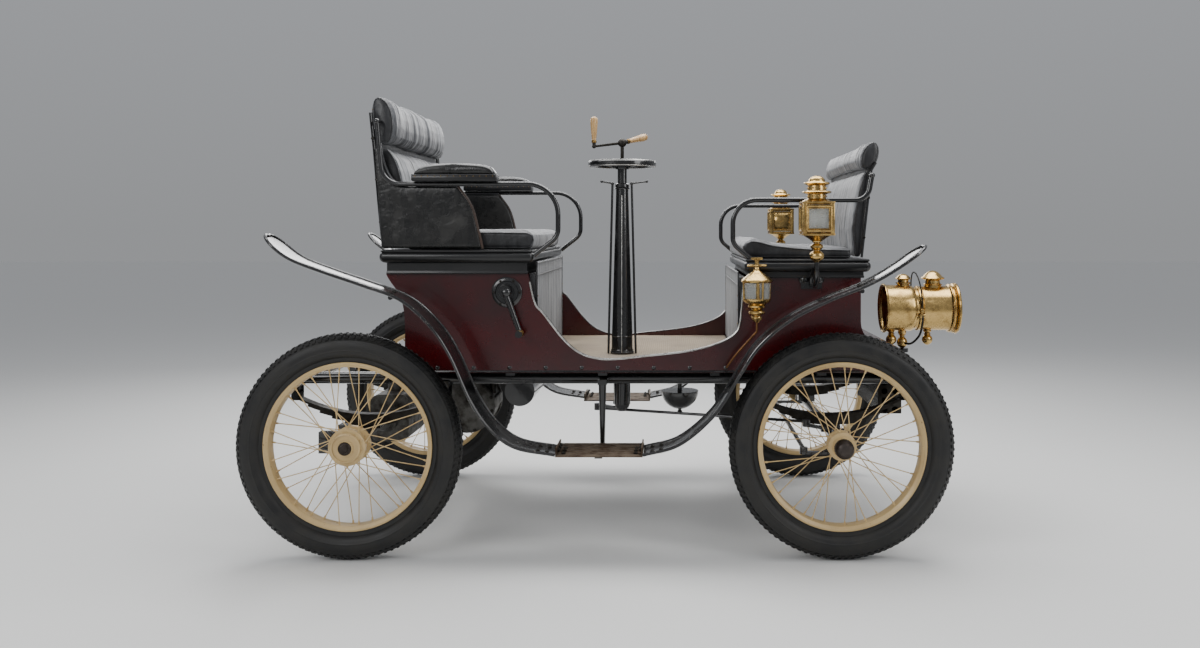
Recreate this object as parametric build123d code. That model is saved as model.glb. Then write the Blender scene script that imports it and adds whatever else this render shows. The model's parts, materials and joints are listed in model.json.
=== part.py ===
from build123d import *
import math
import os

# A face-to-face brass era car of about 1900, in millimetres.
# +X is forwards, +Y is the car's left, +Z is up. The car is drawn from a zero just ahead of its middle,
# and main() moves it so that the origin is on the ground under the middle of its box.
# The driver sits over the engine at the back and faces forwards.
# Two passengers sit in front and face back.
# Each piece is a solid of its own, and each node is written to parts/NODE.step.

# ---------------------------------------------------------------- driving dimensions
WHEELBASE = 1540
TRACK = 1100
REAR_AXLE_X = -900
FRONT_AXLE_X = REAR_AXLE_X + WHEELBASE
WHEEL_Y = TRACK / 2

TYRE_R = 355
TYRE_SECTION_R = 45
AXLE_Z = TYRE_R

RUNNING_GAP = 0.05  # between a shaft and the bore that turns on it
STEP_GAP = 0.6  # between a fender's end and the step plate that it is riveted to
SEAT_GAP = 0.3  # between two pieces that rest on each other with curved faces
LINK_GAP = 1  # between the flat faces of two joined arms

# ---------------------------------------------------------------- wheels
RIM_HALF_WIDTH = 29
RIM_LIP = 4
RIM_LIP_R = TYRE_R - 91
RIM_FLOOR_R = RIM_LIP_R - 9
RIM_INNER_R = RIM_FLOOR_R - 8
SPOKE_R = 1.7
SPOKE_LEAN = 38  # degrees round the rim between a spoke's hub hole and its nipple
NIPPLE_Y = 8
FRONT_SPOKES = 36
REAR_SPOKES = 40
HUB_INNER_Y = -30  # inboard end of the front hub, from the wheel's middle
REAR_HUB_INNER_Y = -36
BORE_END_Y = 50
STUB_END_GAP = 2
REAR_FLANGE_R = 52
REAR_FLANGE_Y = 28
FRONT_FLANGE_R = 38
FRONT_FLANGE_Y = 22

# ---------------------------------------------------------------- steering linkage
KINGPIN_Y = WHEEL_Y - 60
KINGPIN_R = 9
STUB_R = 15
BOSS_R = 20
BOSS_HEIGHT = 50
KNUCKLE_EAR = 14
TIE_ARM = 110
DRAG_ARM = 90  # the drag link's arms reach this far back and this far inboard
ARM_THICKNESS = 9
LINK_PIN_R = 6
LINK_EYE_R = 13
LINK_EYE_HALF = 6
LINK_R = 7
DRAG_LINK_R = 5
DROP_SHAFT_R = 10
DROP_SHAFT_LENGTH = 30

KNUCKLE_TOP_Z = AXLE_Z + BOSS_HEIGHT / 2 + LINK_GAP + KNUCKLE_EAR
KNUCKLE_LOW_Z = AXLE_Z - BOSS_HEIGHT / 2 - LINK_GAP - KNUCKLE_EAR
TIE_ROD_Z = KNUCKLE_LOW_Z + ARM_THICKNESS + LINK_GAP + LINK_EYE_HALF
DRAG_LINK_Z = KNUCKLE_TOP_Z + LINK_GAP + LINK_EYE_HALF
DROP_ARM_TOP_Z = DRAG_LINK_Z + LINK_EYE_HALF + LINK_GAP + ARM_THICKNESS

# ---------------------------------------------------------------- springs and frame
SPRING_HALF = 245
SPRING_RISE = 58
SPRING_WIDTH = 40
LEAF = 7
LEAVES = 5
LEAF_SHORTENING = 0.17
SPRING_BOTTOM_Z = AXLE_Z + 23
SPRING_EYE_R = 14
SPRING_PIN_R = 6
HANGER_CHEEK = 6

RAIL_Y = 310
RAIL_R = 20
RAIL_Z = SPRING_BOTTOM_Z + 155
RAIL_REAR_X = REAR_AXLE_X - 250
RAIL_FRONT_X = FRONT_AXLE_X + 265
CROSS_TUBE_R = 16
BEARER_DEPTH = 9
BEARER_HALF = 15

# ---------------------------------------------------------------- body tub
BODY_HALF_WIDTH = 406
PANEL = 18  # thickness of the wooden body panels
BODY_BOTTOM_Z = RAIL_Z + RAIL_R + BEARER_DEPTH
FLOOR_TOP_Z = BODY_BOTTOM_Z + 38
SILL_Z = FLOOR_TOP_Z + 14
MAT = 6
BODY_REAR_X = REAR_AXLE_X + 135
BODY_FRONT_X = FRONT_AXLE_X + 88
NOSE_X = FRONT_AXLE_X + 210
NOSE_TOP_Z = BODY_BOTTOM_Z + 84
APRON_R = 85

# ---------------------------------------------------------------- seats
REAR_SEAT_FRONT_X = REAR_AXLE_X + 559
REAR_SEAT_REAR_X = REAR_AXLE_X + 57
REAR_SEAT_Z = BODY_BOTTOM_Z + 404  # top of the seat board
FRONT_SEAT_REAR_X = FRONT_AXLE_X - 295  # the edge that faces the driver
FRONT_SEAT_FRONT_X = FRONT_AXLE_X + 117
FRONT_SEAT_Z = BODY_BOTTOM_Z + 374
SEAT_HALF_WIDTH = BODY_HALF_WIDTH + 34
SEAT_BOARD = 42
SEAT_NOSING_R = 14
SEAT_FRIEZE = 37
FRIEZE_INSET = 22
CUSHION_HALF_WIDTH = BODY_HALF_WIDTH - 16
ROLL_OVERHANG = 10
CHEEK = 17
REAR_TOP_Z = REAR_SEAT_Z - SEAT_BOARD - SEAT_FRIEZE
FRONT_TOP_Z = FRONT_SEAT_Z - SEAT_BOARD - 20
RISER_SETBACK = 12

SEAT_RAIL_Y = BODY_HALF_WIDTH + 14
SEAT_RAIL_R = 8
REAR_ARMREST_Z = REAR_SEAT_Z + 214
FRONT_ARMREST_Z = FRONT_SEAT_Z + 192

# ---------------------------------------------------------------- fenders and steps
FENDER_WIDTH = 140
FENDER_SHEET = 3
FENDER_BEAD_R = 5
STAY_R = 7

STEP_REAR_X = REAR_AXLE_X + 650
STEP_FRONT_X = FRONT_AXLE_X - 620
STEP_TOP_Z = AXLE_Z - 18
STEP_SHEET = 5
STEP_OUTER_Y = WHEEL_Y + FENDER_WIDTH / 2
STEP_INNER_Y = BODY_HALF_WIDTH + 19
STEP_BRACKET_X = (STEP_REAR_X + STEP_FRONT_X) / 2 - 3

# ---------------------------------------------------------------- column, lamps and fittings
COLUMN_X = REAR_AXLE_X + 838
COLUMN_Y = -230
COLUMN_TOP_Z = FLOOR_TOP_Z + 588
HANDWHEEL_Z = COLUMN_TOP_Z + 69
HANDWHEEL_R = 106
LEVER_Z = HANDWHEEL_Z + 73
SPINDLE_R = 6
GRIP_R = 13
GRIP_LENGTH = 78

LAMP_X = FRONT_AXLE_X - 75
LAMP_Y = BODY_HALF_WIDTH + 134
LAMP_BASE_Z = FRONT_SEAT_Z - 7
LAMP_FOOT_Z = LAMP_BASE_Z - 79
HEADLAMP_Z = RAIL_Z + 211
HEADLAMP_REAR_X = FRONT_AXLE_X + 240
HEADLAMP_LENGTH = 265
HEADLAMP_POST_X = FRONT_AXLE_X + 245
HEADLAMP_FOOT = 134  # from the lamp's middle down to its lowest fitting
LENS_R = 82
LENS_BULGE = 19

OILER_X = FRONT_AXLE_X - 258
OILER_Y = BODY_HALF_WIDTH + 64
OILER_BASE_Z = FRONT_SEAT_Z - 202

CRANK_X = REAR_AXLE_X + 466
CRANK_Z = REAR_SEAT_Z - 136

ENGINE_REAR_X = REAR_SEAT_REAR_X + 98
ENGINE_FRONT_X = ENGINE_REAR_X + 240
ENGINE_HALF_WIDTH = 95
SILENCER_X = REAR_SEAT_FRONT_X - 79
SILENCER_R = 52
GONG_X = FRONT_AXLE_X - 502
GONG_R = 68
RADIATOR_HALF_WIDTH = 200

CROSS_TUBES = (
    RAIL_REAR_X + 30, REAR_AXLE_X, ENGINE_REAR_X, ENGINE_FRONT_X, STEP_FRONT_X + 30, FRONT_AXLE_X - 220,
    HEADLAMP_POST_X,
)
BEARERS = (ENGINE_REAR_X - 5, SILENCER_X, STEP_BRACKET_X, FRONT_AXLE_X - 390, FRONT_AXLE_X - 40)

ORIGIN_X = (REAR_AXLE_X - TYRE_R + HEADLAMP_REAR_X + HEADLAMP_LENGTH + LENS_BULGE) / 2

NODES = {}


# ---------------------------------------------------------------- shared helpers
def xz_slab(outline, y_low, y_high):
    """A plate with its outline in X and Z, between two Y planes."""
    return extrude(Plane.XZ.offset(-y_high) * make_face(outline), y_high - y_low)


def block(x, y, z):
    """A box from its (low, high) pairs along each axis."""
    return Pos((x[0] + x[1]) / 2, (y[0] + y[1]) / 2, (z[0] + z[1]) / 2) * Box(
        x[1] - x[0], y[1] - y[0], z[1] - z[0]
    )


def rod(start, end, radius, end_radius=None):
    """A round rod or cone between two points."""
    line = Vector(*end) - Vector(*start)
    place = Plane(origin=start, z_dir=line)
    if end_radius is None:
        return extrude(place * Circle(radius), line.length)
    shape = Cone(radius, end_radius, line.length, align=(Align.CENTER, Align.CENTER, Align.MIN))
    return place.location * shape


def tube_along(points, corner_radii, radius):
    """A round bar bent along straight runs joined by arcs."""
    path = FilletPolyline(*points, radius=corner_radii)
    return sweep(Plane(origin=path @ 0, z_dir=path % 0) * Circle(radius), path=path)


def lathe_z(outline, x, y):
    """Turns an outline of (radius, z) points about a vertical axis."""
    face = Plane.XZ * make_face(Polyline(*outline, close=True))
    return Pos(x, y, 0) * revolve(face, Axis.Z)


def lathe_x(outline, y, z):
    """Turns an outline of (x, radius) points about an axis along X."""
    face = Plane.XZ * make_face(Polyline(*outline, close=True))
    return Pos(0, y, z) * revolve(face, Axis.X)


def lathe_y(outline, x, z):
    """Turns an outline of (y, radius) points about an axis along Y."""
    face = Plane.YZ * make_face(outline)
    return Pos(x, 0, z) * revolve(face, Axis.Y)


def to_right(shape):
    """The right-hand twin of a left-hand shape."""
    return mirror(shape, about=Plane.XZ)


def group(shapes):
    """Several pieces as one node whose solids stay apart."""
    return Compound([solid for shape in shapes for solid in shape.solids()])


def from_point(x, z, steps):
    """Outline points given as steps from one place."""
    return [(x + dx, z + dz) for dx, dz in steps]


def pair(left_shape):
    """Both twins as one node of two solids."""
    return group([to_right(left_shape), left_shape])


# ------------------------------------------------------- wheels, about their own middle, outboard = +Y
def rim():
    w = RIM_HALF_WIDTH
    lip = RIM_LIP
    outline = [
        (-w, RIM_LIP_R), (-w + lip, RIM_LIP_R), (-w + lip, RIM_FLOOR_R),
        (w - lip, RIM_FLOOR_R), (w - lip, RIM_LIP_R), (w, RIM_LIP_R),
        (w, RIM_INNER_R + 6), (w - 8, RIM_INNER_R), (-w + 8, RIM_INNER_R), (-w, RIM_INNER_R + 6),
    ]
    return lathe_y(Polyline(*outline, close=True), 0, 0)


def tyre():
    centre_r = TYRE_R - TYRE_SECTION_R
    bead = RIM_HALF_WIDTH - RIM_LIP
    neck = RIM_HALF_WIDTH
    neck_r = centre_r - math.sqrt(TYRE_SECTION_R**2 - neck**2)
    outline = ThreePointArc((-neck, neck_r), (0, TYRE_R), (neck, neck_r))
    outline += Polyline((neck, neck_r), (bead, RIM_LIP_R), (bead, RIM_FLOOR_R))
    outline += Polyline((bead, RIM_FLOOR_R), (-bead, RIM_FLOOR_R), (-bead, RIM_LIP_R), (-neck, neck_r))
    return lathe_y(outline, 0, 0)


def spokes(flange_r, flange_y, count):
    """Crossed wire spokes: each flange sends half of its spokes forwards and half back."""
    made = []
    per_flange = count // 2
    lean = math.radians(SPOKE_LEAN)
    for flange, side in enumerate((-1, 1)):
        for i in range(per_flange):
            angle = 2 * math.pi * (i + flange / 2) / per_flange
            way = 1 if i % 2 else -1
            head_y = side * (flange_y + way * 3)
            nipple_y = side * NIPPLE_Y
            head = (flange_r * math.cos(angle), head_y, flange_r * math.sin(angle))
            end_r = RIM_INNER_R + 3
            turn = angle + way * lean
            end = (end_r * math.cos(turn), nipple_y, end_r * math.sin(turn))
            made.append(rod(head, end, SPOKE_R))
    return made


def hub(outline, bore_from, bore_to):
    """A turned hub with a blind bore that opens inboard."""
    body = lathe_y(Polyline(*outline, close=True), 0, 0)
    bore = rod((0, bore_from, 0), (0, bore_to, 0), STUB_R + RUNNING_GAP)
    return body - bore


def rear_wheel():
    inner = REAR_HUB_INNER_Y
    outline = [
        (inner, 0), (inner, 40), (inner + 2, 58), (-20, 58), (-18, 40),
        (18, 40), (20, 58), (36, 58), (38, 50), (50, 46), (52, 24), (62, 20), (68, 16), (68, 0),
    ]
    body = hub(outline, inner - 1, BORE_END_Y)
    wires = spokes(REAR_FLANGE_R, REAR_FLANGE_Y, REAR_SPOKES)
    return (rim() + body).fuse(*wires)


def front_wheel():
    inner = HUB_INNER_Y
    outline = [
        (inner, 0), (inner, 28), (inner + 2, 44), (-16, 44), (-14, 25),
        (14, 25), (16, 44), (28, 44), (30, 32), (56, 29), (72, 29), (84, 24), (90, 12), (90, 0),
    ]
    body = hub(outline, inner - 1, BORE_END_Y)
    wires = spokes(FRONT_FLANGE_R, FRONT_FLANGE_Y, FRONT_SPOKES)
    return (rim() + body).fuse(*wires)


def make_wheels():
    rubber = tyre()
    for end, x, wheel in (("rear", REAR_AXLE_X, rear_wheel()), ("front", FRONT_AXLE_X, front_wheel())):
        left_wheel = Pos(x, WHEEL_Y, AXLE_Z) * wheel
        left_tyre = Pos(x, WHEEL_Y, AXLE_Z) * rubber
        NODES[f"{end}_left_wheel"] = left_wheel
        NODES[f"{end}_right_wheel"] = to_right(left_wheel)
        NODES[f"{end}_left_tyre"] = left_tyre
        NODES[f"{end}_right_tyre"] = to_right(left_tyre)


# ---------------------------------------------------------------- steering
def stub_end_y():
    """Outboard end of a stub axle, just short of its blind bore's end."""
    return WHEEL_Y + BORE_END_Y - STUB_END_GAP


def knuckle():
    """The left knuckle: two ears round the axle's boss, the kingpin, the stub axle and the track arm."""
    half = BOSS_HEIGHT / 2 + LINK_GAP
    top = AXLE_Z + half
    bottom = AXLE_Z - half
    web_y = KINGPIN_Y + BOSS_R + 2
    shoulder = WHEEL_Y + HUB_INNER_Y - 2
    x = FRONT_AXLE_X
    ear_x = (x - STUB_R, x + STUB_R)
    solid = rod((x, KINGPIN_Y, KNUCKLE_LOW_Z), (x, KINGPIN_Y, KNUCKLE_TOP_Z), KINGPIN_R)
    for z in ((top, KNUCKLE_TOP_Z), (KNUCKLE_LOW_Z, bottom)):
        solid += rod((x, KINGPIN_Y, z[0]), (x, KINGPIN_Y, z[1]), BOSS_R)
        solid += block(ear_x, (KINGPIN_Y, web_y + 4), z)
    solid += block(ear_x, (web_y, shoulder), (KNUCKLE_LOW_Z, KNUCKLE_TOP_Z))
    solid += rod((x, shoulder - 1, AXLE_Z), (x, stub_end_y(), AXLE_Z), STUB_R)
    arm_end = (x - TIE_ARM, KINGPIN_Y)
    arm_top = KNUCKLE_LOW_Z + ARM_THICKNESS
    half_arm = ARM_THICKNESS
    solid += block((arm_end[0], x), (KINGPIN_Y - half_arm, KINGPIN_Y + half_arm), (KNUCKLE_LOW_Z, arm_top))
    solid += rod((*arm_end, KNUCKLE_LOW_Z), (*arm_end, arm_top), LINK_EYE_R)
    return solid + rod((*arm_end, KNUCKLE_LOW_Z), (*arm_end, TIE_ROD_Z + LINK_EYE_HALF), LINK_PIN_R)


def strap(start, end, width, z_low, z_high):
    """A flat arm of one width between two points in plan."""
    ahead = (Vector(*end) - Vector(*start)).normalized()
    side = Vector(-ahead.Y, ahead.X) * (width / 2)
    corners = [Vector(*start) + side, Vector(*end) + side, Vector(*end) - side, Vector(*start) - side]
    face = make_face(Polyline(*[(p.X, p.Y) for p in corners], close=True))
    return extrude(Pos(0, 0, z_low) * face, z_high - z_low)


def link(start, end, z, radius):
    """A round rod with a bored eye at each end."""
    ahead = (Vector(*end) - Vector(*start)).normalized() * (LINK_EYE_R - 3)
    near = Vector(*start) + ahead
    far = Vector(*end) - ahead
    bar = rod((near.X, near.Y, z), (far.X, far.Y, z), radius)
    for point in (start, end):
        bar += rod((*point, z - LINK_EYE_HALF), (*point, z + LINK_EYE_HALF), LINK_EYE_R)
    reach = LINK_EYE_HALF + 1
    for point in (start, end):
        bar -= rod((*point, z - reach), (*point, z + reach), LINK_PIN_R + RUNNING_GAP)
    return bar


def make_steering():
    left = knuckle()
    NODES["left_knuckle"] = left
    kingpin = (FRONT_AXLE_X, -KINGPIN_Y)
    arm_end = (FRONT_AXLE_X - DRAG_ARM, -KINGPIN_Y + DRAG_ARM)
    arm_low = KNUCKLE_TOP_Z - ARM_THICKNESS
    right = to_right(left) + strap(kingpin, arm_end, LINK_EYE_R + 3, arm_low, KNUCKLE_TOP_Z)
    right += rod((*arm_end, arm_low), (*arm_end, KNUCKLE_TOP_Z), LINK_EYE_R)
    right += rod((*arm_end, arm_low), (*arm_end, DRAG_LINK_Z + LINK_EYE_HALF), LINK_PIN_R)
    NODES["right_knuckle"] = right

    bar_x = FRONT_AXLE_X - TIE_ARM
    NODES["tie_rod"] = link((bar_x, -KINGPIN_Y), (bar_x, KINGPIN_Y), TIE_ROD_Z, LINK_R)
    column = (COLUMN_X, COLUMN_Y)
    drop_end = (COLUMN_X - DRAG_ARM, COLUMN_Y + DRAG_ARM)
    NODES["drag_link"] = link(drop_end, arm_end, DRAG_LINK_Z, DRAG_LINK_R)

    # the drop arm hangs on the steering box's shaft and holds the link's rear pin
    arm_low = DROP_ARM_TOP_Z - ARM_THICKNESS
    drop = strap(column, drop_end, LINK_EYE_R + 3, arm_low, DROP_ARM_TOP_Z)
    drop += rod((*column, arm_low), (*column, DROP_ARM_TOP_Z), DROP_SHAFT_R + 8)
    drop += rod((*drop_end, arm_low), (*drop_end, DROP_ARM_TOP_Z), LINK_EYE_R)
    drop += rod((*drop_end, DRAG_LINK_Z - LINK_EYE_HALF), (*drop_end, DROP_ARM_TOP_Z), LINK_PIN_R)
    drop += rod((*column, arm_low), (*column, DROP_ARM_TOP_Z + DROP_SHAFT_LENGTH), DROP_SHAFT_R)
    NODES["drop_arm"] = drop


def steering_box():
    """The steering gear's case hangs under the floor, round the drop arm's shaft."""
    top = FLOOR_TOP_Z - PANEL
    low = DROP_ARM_TOP_Z + LINK_GAP
    case = lathe_z(
        [(0, low), (22, low), (28, low + 13), (28, top - 12), (46, top - 12), (46, top), (0, top)],
        COLUMN_X, COLUMN_Y,
    )
    hole_top = DROP_ARM_TOP_Z + DROP_SHAFT_LENGTH + LINK_GAP
    return case - rod(
        (COLUMN_X, COLUMN_Y, DROP_ARM_TOP_Z), (COLUMN_X, COLUMN_Y, hole_top), DROP_SHAFT_R + RUNNING_GAP
    )


def make_column():
    base = FLOOR_TOP_Z + MAT
    neck_r = 16
    pillar = lathe_z(
        [
            (0, base), (41, base), (41, base + 6), (37, base + 12), (21, COLUMN_TOP_Z - 14),
            (24, COLUMN_TOP_Z - 10),
            (24, COLUMN_TOP_Z), (neck_r, COLUMN_TOP_Z + 3), (neck_r, HANDWHEEL_Z - 18),
            (0, HANDWHEEL_Z - 18),
        ],
        COLUMN_X, COLUMN_Y,
    )
    spindle_hole = rod(
        (COLUMN_X, COLUMN_Y, HANDWHEEL_Z - 60), (COLUMN_X, COLUMN_Y, HANDWHEEL_Z), SPINDLE_R + RUNNING_GAP
    )
    NODES["steering_column"] = group([pillar - spindle_hole, steering_box()])

    # the speed handwheel turns round the spindle, just under the steering lever
    ring = Pos(COLUMN_X, COLUMN_Y, HANDWHEEL_Z) * Torus(HANDWHEEL_R, 11)
    bore_r = SPINDLE_R + 0.5
    nave = lathe_z(
        [(bore_r, HANDWHEEL_Z - 18), (24, HANDWHEEL_Z - 18), (24, HANDWHEEL_Z - 4), (16, HANDWHEEL_Z + 8),
         (10, HANDWHEEL_Z + 20), (bore_r, HANDWHEEL_Z + 20)],
        COLUMN_X, COLUMN_Y,
    )
    wheel = ring + nave
    for quarter in range(4):
        angle = math.radians(45 + 90 * quarter)
        inner = (COLUMN_X + 18 * math.cos(angle), COLUMN_Y + 18 * math.sin(angle), HANDWHEEL_Z - 6)
        outer_r = HANDWHEEL_R - 4
        outer = (COLUMN_X + outer_r * math.cos(angle), COLUMN_Y + outer_r * math.sin(angle), HANDWHEEL_Z)
        wheel += rod(inner, outer, 6)
    NODES["speed_handwheel"] = wheel

    # two control rods with thumb levers stand beside the column
    spread_low = 47
    spread_high = 33
    rod_r = 4
    controls = []
    for side, low, lever in ((-1, spread_low, 36), (1, spread_low, 52)):
        foot = (COLUMN_X + side * low, COLUMN_Y - 8, base + SEAT_GAP)
        head = (COLUMN_X + side * spread_high, COLUMN_Y - 8, COLUMN_TOP_Z + 2)
        lever_end = (COLUMN_X + side * (spread_high + lever), COLUMN_Y - 24, COLUMN_TOP_Z + 8)
        piece = rod(foot, head, rod_r) + Pos(*head) * Sphere(rod_r + 2) + rod(head, lever_end, 3)
        controls.append(piece + Pos(*lever_end) * Sphere(5))
    NODES["control_rods"] = group(controls)

    make_lever()


def grip(foot, direction):
    """A tapered wooden grip with a domed end."""
    end = foot + direction * GRIP_LENGTH
    return rod(tuple(foot), tuple(end), GRIP_R - 5, GRIP_R) + Pos(*tuple(end)) * Sphere(GRIP_R)


def make_lever():
    """The steering lever: a ball on the spindle, an arm with an upright grip and a second slanting grip."""
    ball = Vector(COLUMN_X, COLUMN_Y, LEVER_Z)
    foot_z = HANDWHEEL_Z - 55
    elbow = ball + Vector(-97, 0, -12)
    upright = Vector(0, 0, 1)
    slant = Vector(0.72, 0.62, 0.24).normalized()
    lever = rod((COLUMN_X, COLUMN_Y, foot_z), tuple(ball), SPINDLE_R) + Pos(*tuple(ball)) * Sphere(15)
    lever += rod(tuple(ball), tuple(elbow), 5, 4) + Pos(*tuple(elbow)) * Sphere(7)
    upright_foot = elbow + upright * 12
    slant_foot = ball + slant * 22
    lever += rod(tuple(elbow), tuple(upright_foot), 6)
    lever += rod(tuple(ball + slant * 12), tuple(slant_foot), 7)
    NODES["steering_lever"] = lever
    NODES["lever_grips"] = group([grip(upright_foot, upright), grip(slant_foot, slant)])


# ---------------------------------------------------------------- chassis
def leaf_spring(x, y):
    """A half-elliptic spring whose leaves shorten downwards, with an eye at each end of the top leaf."""
    radius = (SPRING_HALF**2 + SPRING_RISE**2) / (2 * SPRING_RISE)
    top_z = SPRING_BOTTOM_Z + LEAVES * LEAF
    centre_z = top_z + radius
    spring = None
    for i in range(LEAVES):
        inner = radius + i * LEAF
        outer = inner + LEAF
        reach = math.asin(SPRING_HALF / radius) * (1 - LEAF_SHORTENING * i)

        def at(r, angle):
            return (x + r * math.sin(angle), centre_z - r * math.cos(angle))

        outline = ThreePointArc(at(inner, -reach), at(inner, 0), at(inner, reach))
        outline += Line(at(inner, reach), at(outer, reach))
        outline += ThreePointArc(at(outer, reach), at(outer, 0), at(outer, -reach))
        outline += Line(at(outer, -reach), at(inner, -reach))
        leaf = xz_slab(outline, y - SPRING_WIDTH / 2, y + SPRING_WIDTH / 2)
        spring = leaf if spring is None else spring + leaf
    for side in (-1, 1):
        eye_x, eye_z = spring_eye(x, side)
        low = y - SPRING_WIDTH / 2
        high = y + SPRING_WIDTH / 2
        spring += rod((eye_x, low, eye_z), (eye_x, high, eye_z), SPRING_EYE_R)
        spring -= rod((eye_x, low - 1, eye_z), (eye_x, high + 1, eye_z), SPRING_PIN_R + RUNNING_GAP)
    return spring


def spring_eye(x, side):
    """Middle of the eye at one end of a spring."""
    top_z = SPRING_BOTTOM_Z + LEAVES * LEAF
    return x + side * (SPRING_HALF + 6), top_z + SPRING_RISE + 4


def hanger(x, side, y):
    """Two cheeks and a pin that hold a spring's eye under the frame rail."""
    eye_x, eye_z = spring_eye(x, side)
    half = SPRING_WIDTH / 2 + LINK_GAP
    outer = half + HANGER_CHEEK
    across = (eye_x - 12, eye_x + 12)
    pin = rod((eye_x, y - outer, eye_z), (eye_x, y + outer, eye_z), SPRING_PIN_R)
    for way in (-1, 1):
        cheek = sorted((y + way * half, y + way * outer))
        pin += block(across, cheek, (eye_z - 14, RAIL_Z - 8))
    saddle_z = RAIL_Z - RAIL_R
    pin += block(across, (y - half, y + half), (saddle_z - 8, saddle_z + 10))
    return pin


def make_frame():
    rail = rod((RAIL_REAR_X, RAIL_Y, RAIL_Z), (RAIL_FRONT_X, RAIL_Y, RAIL_Z), RAIL_R)
    rail += Pos(RAIL_FRONT_X, RAIL_Y, RAIL_Z) * Sphere(RAIL_R)
    brazed = [to_right(rail)]
    for x in CROSS_TUBES:
        brazed.append(rod((x, -RAIL_Y, RAIL_Z), (x, RAIL_Y, RAIL_Z), CROSS_TUBE_R))
    for x in (REAR_AXLE_X, FRONT_AXLE_X):
        for end in (-1, 1):
            brazed += [hanger(x, end, RAIL_Y), hanger(x, end, -RAIL_Y)]
    NODES["chassis_frame"] = rail.fuse(*brazed)

    half = BODY_HALF_WIDTH
    z = (RAIL_Z + RAIL_R, BODY_BOTTOM_Z)
    NODES["body_bearers"] = group(
        [block((x - BEARER_HALF, x + BEARER_HALF), (-half, half), z) for x in BEARERS]
    )

    NODES["leaf_springs"] = group(
        [leaf_spring(x, side * RAIL_Y) for x in (REAR_AXLE_X, FRONT_AXLE_X) for side in (-1, 1)]
    )


def spring_seat(side):
    """The Y range of the pad under the spring on one side."""
    half = SPRING_WIDTH / 2 + 6
    return sorted((side * (RAIL_Y - half), side * (RAIL_Y + half)))


def make_front_axle():
    x = FRONT_AXLE_X
    beam = rod((x, -KINGPIN_Y, AXLE_Z), (x, KINGPIN_Y, AXLE_Z), 16)
    half = BOSS_HEIGHT / 2
    for side in (-1, 1):
        y = side * KINGPIN_Y
        beam += rod((x, y, AXLE_Z - half), (x, y, AXLE_Z + half), BOSS_R)
        beam += block((x - 32, x + 32), spring_seat(side), (AXLE_Z, SPRING_BOTTOM_Z - SEAT_GAP))
    for side in (-1, 1):
        y = side * KINGPIN_Y
        beam -= rod((x, y, AXLE_Z - half), (x, y, AXLE_Z + half), KINGPIN_R + RUNNING_GAP)
    NODES["front_axle"] = beam


def make_rear_axle():
    """The dead rear axle runs behind the gearbox; its end plates carry the hubs' stubs."""
    x = REAR_AXLE_X
    tube_x = x - 90
    tube_z = AXLE_Z - 10
    plate_out = WHEEL_Y + REAR_HUB_INNER_Y - STUB_END_GAP
    plate_in = plate_out - 26
    dead = rod((tube_x, -plate_in - 4, tube_z), (tube_x, plate_in + 4, tube_z), 18)
    for side in (-1, 1):
        across = sorted((side * plate_in, side * plate_out))
        dead += block((tube_x - 22, x + 34), across, (AXLE_Z - 34, AXLE_Z + 34))
        dead += rod((x, side * (plate_out - 1), AXLE_Z), (x, side * stub_end_y(), AXLE_Z), STUB_R)
        seat = spring_seat(side)
        dead += block((tube_x - 18, x + 34), seat, (SPRING_BOTTOM_Z - 9, SPRING_BOTTOM_Z - SEAT_GAP))
        dead += block((tube_x - 14, tube_x + 14), seat, (AXLE_Z, SPRING_BOTTOM_Z - 4))
    NODES["rear_axle"] = dead
    make_gearbox(plate_in)


def make_gearbox(shaft_end_y):
    """The final drive hangs from the rear cross tube and drives the wheels by jointed half shafts."""
    x = REAR_AXLE_X
    case_y = 120
    nose_y = case_y + 25
    joint_r = 26
    case = block((x - 62, x + 75), (-case_y, case_y), (AXLE_Z - 75, AXLE_Z + 90))
    case = fillet(case.edges().filter_by(Axis.Y), 30)
    case += rod((x, 0, AXLE_Z + 60), (x, 0, RAIL_Z - CROSS_TUBE_R - SEAT_GAP), 30)
    case += rod((x, -nose_y, AXLE_Z), (x, nose_y, AXLE_Z), 38)
    shafts = [case]
    for side in (-1, 1):
        inner = side * (nose_y + SEAT_GAP)
        outer = side * (shaft_end_y - SEAT_GAP)
        shaft = rod((x, inner, AXLE_Z), (x, outer, AXLE_Z), 11)
        shaft += Pos(x, side * (nose_y + joint_r + 11), AXLE_Z) * Sphere(joint_r)
        shaft += Pos(x, side * (shaft_end_y - joint_r - 10), AXLE_Z) * Sphere(joint_r)
        shafts.append(shaft)
    NODES["gearbox_and_half_shafts"] = group(shafts)


def make_engine():
    gap = CROSS_TUBE_R + SEAT_GAP
    NODES["engine"] = block(
        (ENGINE_REAR_X + gap, ENGINE_FRONT_X - gap), (-ENGINE_HALF_WIDTH, ENGINE_HALF_WIDTH),
        (RAIL_Z - 233, RAIL_Z + 187),
    )


# ---------------------------------------------------------------- body tub
def rear_edge(x_shift=0):
    """The hollow curve of the tub's back, from its top down to the bottom."""
    top_x = REAR_SEAT_REAR_X + 16 + x_shift
    low_x = BODY_REAR_X + x_shift
    return Spline((top_x, REAR_TOP_Z), (low_x - 22, REAR_TOP_Z - 62), (low_x, BODY_BOTTOM_Z + 110),
                  (low_x, BODY_BOTTOM_Z), tangents=[(0.4, -1), (0, -1)])


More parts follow.
